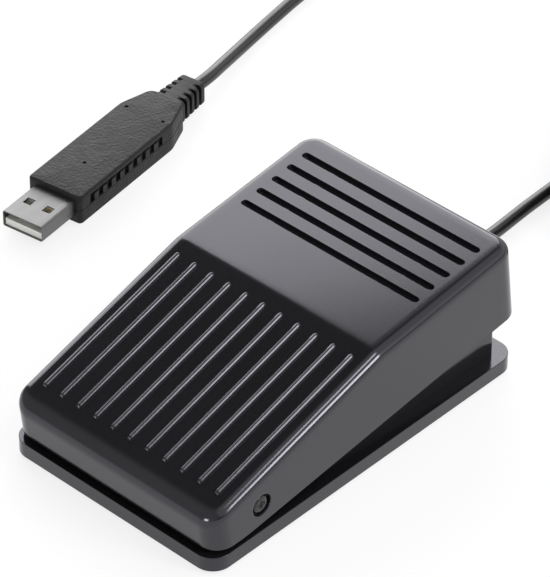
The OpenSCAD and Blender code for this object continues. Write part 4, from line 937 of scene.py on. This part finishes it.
# %% The grain group
def grain_group():
    """Fine noise as a height, and slow noise as a patch value, both read from Object coordinates times a stretch."""
    group = bpy.data.node_groups.new("moulded_grain", "ShaderNodeTree")
    for name, kind, start in [("Fine Scale", "NodeSocketFloat", 1500.0), ("Patch Scale", "NodeSocketFloat", 40.0),
                              ("Stretch", "NodeSocketVector", (1.0, 1.0, 1.0))]:
        socket = group.interface.new_socket(name, in_out="INPUT", socket_type=kind)
        socket.default_value = start
    for name in ("Height", "Patch"):
        group.interface.new_socket(name, in_out="OUTPUT", socket_type="NodeSocketFloat")
    nodes, links = group.nodes, group.links
    given, result = nodes.new("NodeGroupInput"), nodes.new("NodeGroupOutput")
    place, stretch = nodes.new("ShaderNodeTexCoord"), nodes.new("ShaderNodeVectorMath")
    stretch.operation = "MULTIPLY"
    links.new(place.outputs["Object"], stretch.inputs[0])
    links.new(given.outputs["Stretch"], stretch.inputs[1])
    for scale, detail, output in [("Fine Scale", 2.0, "Height"), ("Patch Scale", 4.0, "Patch")]:
        noise = nodes.new("ShaderNodeTexNoise")
        noise.inputs["Detail"].default_value = detail
        links.new(stretch.outputs["Vector"], noise.inputs["Vector"])
        links.new(given.outputs[scale], noise.inputs["Scale"])
        links.new(noise.outputs["Fac"], result.inputs[output])
    return group


grain = grain_group()
print("the grain group has", len(grain.nodes), "nodes")

# %% A finish from the grain
PATCH_LOW, PATCH_HIGH, BUMP_HEIGHT = 0.3, 0.7, 0.0002


def make_finish(name, dark, light, rough, fine=1500.0, patch=40.0, bump=0.1, metal=0.0, stretch=(1, 1, 1), ior=1.5,
                tint=(1, 1, 1)):
    """Patches mix the two colours and swing the roughness between two values, and the grain's height feeds a bump."""
    material = bpy.data.materials.new(name)
    material.use_nodes = True
    nodes, links = material.node_tree.nodes, material.node_tree.links
    shader = nodes["Principled BSDF"]
    shader.inputs["Metallic"].default_value = metal
    shader.inputs["IOR"].default_value = ior
    shader.inputs["Specular Tint"].default_value = (*tint, 1)
    surface = nodes.new("ShaderNodeGroup")
    surface.node_tree = grain
    surface.inputs["Fine Scale"].default_value = fine
    surface.inputs["Patch Scale"].default_value = patch
    surface.inputs["Stretch"].default_value = stretch
    colours = nodes.new("ShaderNodeMix")
    colours.data_type = "RGBA"
    colours.inputs["A"].default_value = (*dark, 1)
    colours.inputs["B"].default_value = (*light, 1)
    links.new(surface.outputs["Patch"], colours.inputs["Factor"])
    links.new(colours.outputs["Result"], shader.inputs["Base Color"])
    swing = nodes.new("ShaderNodeMapRange")
    swing.inputs["From Min"].default_value = PATCH_LOW
    swing.inputs["From Max"].default_value = PATCH_HIGH
    swing.inputs["To Min"].default_value = rough[0]
    swing.inputs["To Max"].default_value = rough[1]
    links.new(surface.outputs["Patch"], swing.inputs["Value"])
    links.new(swing.outputs["Result"], shader.inputs["Roughness"])
    bumps = nodes.new("ShaderNodeBump")
    bumps.inputs["Strength"].default_value = bump
    bumps.inputs["Distance"].default_value = BUMP_HEIGHT
    links.new(surface.outputs["Height"], bumps.inputs["Height"])
    links.new(bumps.outputs["Normal"], shader.inputs["Normal"])
    return material


def grey(value):
    """A neutral colour of one linear value."""
    return (value, value, value)


# %% Plastics and rubber
gloss_black = make_finish("gloss_black", (0.008, 0.008, 0.009), (0.01, 0.01, 0.011), (0.12, 0.15), 1800, 30, 0.02,
                          ior=1.6, tint=(0.9, 0.885, 1))
matte_black = make_finish("matte_black", grey(0.01), grey(0.016), (0.45, 0.55), 1300, 300, 1.0, ior=1.3)
black_rubber = make_finish("black_rubber", grey(0.007), grey(0.011), (0.48, 0.58), 1500, 120, 0.2, ior=1.38)
cord_jacket = make_finish("cord_jacket", grey(0.009), grey(0.013), (0.2, 0.25), 1200, 60, 0.05)
switch_plastic = make_finish("switch_plastic", grey(0.028), grey(0.036), (0.36, 0.46), 1500, 80, 0.15)
plunger_red = make_finish("plunger_red", (0.38, 0.035, 0.025), (0.44, 0.045, 0.03), (0.3, 0.4), 1500, 120, 0.1)
red_wire = make_finish("red_wire", (0.3, 0.03, 0.025), (0.36, 0.04, 0.03), (0.35, 0.45), 1500, 90, 0.1)
pale_wire = make_finish("pale_wire", grey(0.62), grey(0.68), (0.35, 0.45), 1500, 90, 0.1)
insulator_white = make_finish("insulator_white", (0.74, 0.74, 0.7), (0.8, 0.8, 0.77), (0.4, 0.5), 1500, 120, 0.1)
board_green = make_finish("board_green", (0.012, 0.1, 0.05), (0.016, 0.13, 0.065), (0.3, 0.4), 2500, 400, 0.2)
chip_black = make_finish("chip_black", grey(0.014), grey(0.02), (0.45, 0.55), 2600, 200, 0.3)
print("finishes made:", len(bpy.data.materials))

# %% Metals
plated_steel = make_finish("plated_steel", grey(0.15), grey(0.21), (0.42, 0.54), 900, 700, 0.05, 1.0, (1, 0.08, 1))
black_steel = make_finish("black_steel", grey(0.012), grey(0.02), (0.12, 0.18), 1600, 500, 0.08, ior=1.42)
spring_steel = make_finish("spring_steel", grey(0.42), grey(0.52), (0.25, 0.33), 1500, 200, 0.05, 1.0)
contact_brass = make_finish("contact_brass", (0.62, 0.44, 0.16), (0.72, 0.53, 0.22), (0.24, 0.34), 1500, 300, 0.05,
                            1.0)
print("finishes made:", len(bpy.data.materials))

# %% Put the finishes on
new_pieces = [(pedal, gloss_black), (pedal_inside, gloss_black), (base, gloss_black), (lead_cord, cord_jacket),
              (coil_tie, matte_black), (hinge_pins, black_steel), (spring, spring_steel), (wire_red, red_wire),
              (wire_pale, pale_wire), (grommet, black_rubber), (upper_half, matte_black), (lower_half, matte_black),
              (relief, black_rubber), (metal_shell, plated_steel)]
for piece, material in new_pieces:
    piece.data.materials.clear()
    piece.data.materials.append(material)
kept_nodes = {"rubber_feet": black_rubber, "switch_case": switch_plastic, "switch_cover": switch_plastic,
              "switch_terminals": contact_brass, "switch_screws": plated_steel, "switch_plunger": plunger_red,
              "switch_lever": spring_steel, "cable_clamp": matte_black, "clamp_screws": plated_steel,
              "usb_insulator": insulator_white, "usb_contacts": contact_brass, "controller_board": board_green,
              "controller_chip": chip_black}
for name, material in kept_nodes.items():
    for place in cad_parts[name].material_slots:
        place.material = material
print("CAD nodes that stay:", sorted(kept_nodes))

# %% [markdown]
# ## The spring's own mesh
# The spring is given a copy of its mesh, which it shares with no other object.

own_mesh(spring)

# %% [markdown]
# ## Floor and light
# The picture is a product shot on white: a bright sweep behind and below, and a dimmer room in front of the object.
# On black gloss the lights are what one sees, so each has its place. A broad soft box behind on the left whitens the
# flat tread. Two small bright lamps on the right, one high and one low, draw thin lines along the beads and the
# right-hand edge, and a small low one in front puts the glint on the corner. To the camera, and in gloss and glass,
# the floor is mostly a plain white glow, and the rest of it is paint that takes the shadow.

# %% The floor
FLOOR_HALF, FLOOR_GREY, FLOOR_GLOW, GLOW_SHARE = 20.0, 0.86, 1.06, 0.75
floor_corners = [(-FLOOR_HALF, -FLOOR_HALF, 0), (FLOOR_HALF, -FLOOR_HALF, 0), (FLOOR_HALF, FLOOR_HALF, 0),
                 (-FLOOR_HALF, FLOOR_HALF, 0)]
floor_mesh = bpy.data.meshes.new("floor")
floor_mesh.from_pydata(floor_corners, [], [(0, 1, 2, 3)])
floor = bpy.data.objects.new("floor", floor_mesh)
scene.collection.objects.link(floor)
print("the floor is", 2 * FLOOR_HALF, "m wide")

# %% The floor's paint
floor_paint = bpy.data.materials.new("floor_paint")
floor_paint.use_nodes = True
nodes, links = floor_paint.node_tree.nodes, floor_paint.node_tree.links
nodes.clear()
paint, glow = nodes.new("ShaderNodeBsdfDiffuse"), nodes.new("ShaderNodeEmission")
paint.inputs["Color"].default_value = (*grey(FLOOR_GREY), 1)
glow.inputs["Strength"].default_value = FLOOR_GLOW
ray = nodes.new("ShaderNodeLightPath")
seen_or_gloss, seen, share = [nodes.new("ShaderNodeMath") for _ in range(3)]
links.new(ray.outputs["Is Camera Ray"], seen_or_gloss.inputs[0])
links.new(ray.outputs["Is Glossy Ray"], seen_or_gloss.inputs[1])
links.new(seen_or_gloss.outputs[0], seen.inputs[0])
links.new(ray.outputs["Is Transmission Ray"], seen.inputs[1])
seen.use_clamp = True
share.operation = "MULTIPLY"
share.inputs[1].default_value = GLOW_SHARE
links.new(seen.outputs[0], share.inputs[0])
blend, result = nodes.new("ShaderNodeMixShader"), nodes.new("ShaderNodeOutputMaterial")
links.new(share.outputs[0], blend.inputs[0])
links.new(paint.outputs[0], blend.inputs[1])
links.new(glow.outputs[0], blend.inputs[2])
links.new(blend.outputs[0], result.inputs["Surface"])
floor_mesh.materials.append(floor_paint)
print("the floor's paint has", len(nodes), "nodes")

# %% The room around it
room = bpy.data.worlds.new("room")
scene.world = room
room.use_nodes = True
nodes, links = room.node_tree.nodes, room.node_tree.links
look, parts = nodes.new("ShaderNodeTexCoord"), nodes.new("ShaderNodeSeparateXYZ")
links.new(look.outputs["Generated"], parts.inputs[0])
height = parts.outputs["Z"]


def room_ramp(value, low, high, level):
    """A smooth ramp over a value: nothing at low, and level at high."""
    ramp = nodes.new("ShaderNodeMapRange")
    ramp.interpolation_type = "SMOOTHSTEP"
    ramp.inputs["From Min"].default_value = low
    ramp.inputs["From Max"].default_value = high
    ramp.inputs["To Max"].default_value = level
    links.new(value, ramp.inputs["Value"])
    return ramp.outputs["Result"]


def room_side(direction):
    """How far a look into the room points in a direction: the dot product of the two."""
    side = nodes.new("ShaderNodeVectorMath")
    side.operation = "DOT_PRODUCT"
    side.inputs[1].default_value = direction
    links.new(look.outputs["Generated"], side.inputs[0])
    return side.outputs["Value"]


def room_join(operation, first, second):
    """Two levels put together by one operation."""
    join = nodes.new("ShaderNodeMath")
    join.operation = operation
    for place, value in enumerate((first, second)):
        if isinstance(value, float):
            join.inputs[place].default_value = value
        else:
            links.new(value, join.inputs[place])
    return join.outputs[0]


toward_rear = room_ramp(room_side((0.4, 0.9, 0)), 0.0, 0.5, 1.1)
rear_wall = room_join("MULTIPLY", room_ramp(height, 0.97, 0.5, 1.0), toward_rear)
rear_wall = room_join("MULTIPLY", rear_wall, room_join("ADD", room_ramp(height, 0.05, 0.3, 0.7), 0.3))
ceiling_glow = room_ramp(room_side((0.6, 0.1, 0.8)), 0.5, 0.88, 0.85)
front_glow = room_ramp(room_side((-0.3, -0.9, 0)), 0.0, 0.7, 0.45)
brightest = room_join("MAXIMUM", rear_wall, room_join("MAXIMUM", ceiling_glow, front_glow))
links.new(room_join("ADD", brightest, 0.06), nodes["Background"].inputs["Strength"])
nodes["Background"].inputs["Color"].default_value = (1, 1, 1, 1)
print("the room is bright behind and to the right, and dim in front")

# %% The lamps
PEDAL_MIDDLE = np.array([0, 0.01, 0.025])


def add_lamp(name, toward, distance, wide, tall, radiance):
    """A soft rectangular lamp that looks at the pedal. Its power is its radiance times pi times its area."""
    toward = np.array(toward, float) / np.linalg.norm(toward)
    across = np.cross([0.0, 0.0, 1.0], toward)
    across = across / np.linalg.norm(across)
    data = bpy.data.lights.new(name, "AREA")
    data.shape = "RECTANGLE"
    data.size, data.size_y = wide, tall
    data.energy = radiance * np.pi * wide * tall
    lamp = bpy.data.objects.new(name, data)
    place = np.eye(4)
    place[:3] = np.column_stack([across, np.cross(toward, across), toward, PEDAL_MIDDLE + toward * distance])
    lamp.matrix_world = Matrix(place.tolist())
    lamp.visible_camera = False
    scene.collection.objects.link(lamp)
    print(name, "gives", round(data.energy, 2), "W")


add_lamp("soft_box", (-0.742, 0.52, 0.423), 0.8, 0.75, 0.7, 3.6)
add_lamp("right_upper_lamp", (0.468, 0.125, 0.875), 0.9, 0.16, 0.2, 8.0)
add_lamp("right_lower_lamp", (0.878, 0.252, 0.407), 0.9, 0.2, 0.28, 13.0)
add_lamp("front_lamp", (-0.009, -0.985, 0.1), 0.9, 0.22, 0.13, 14.0)
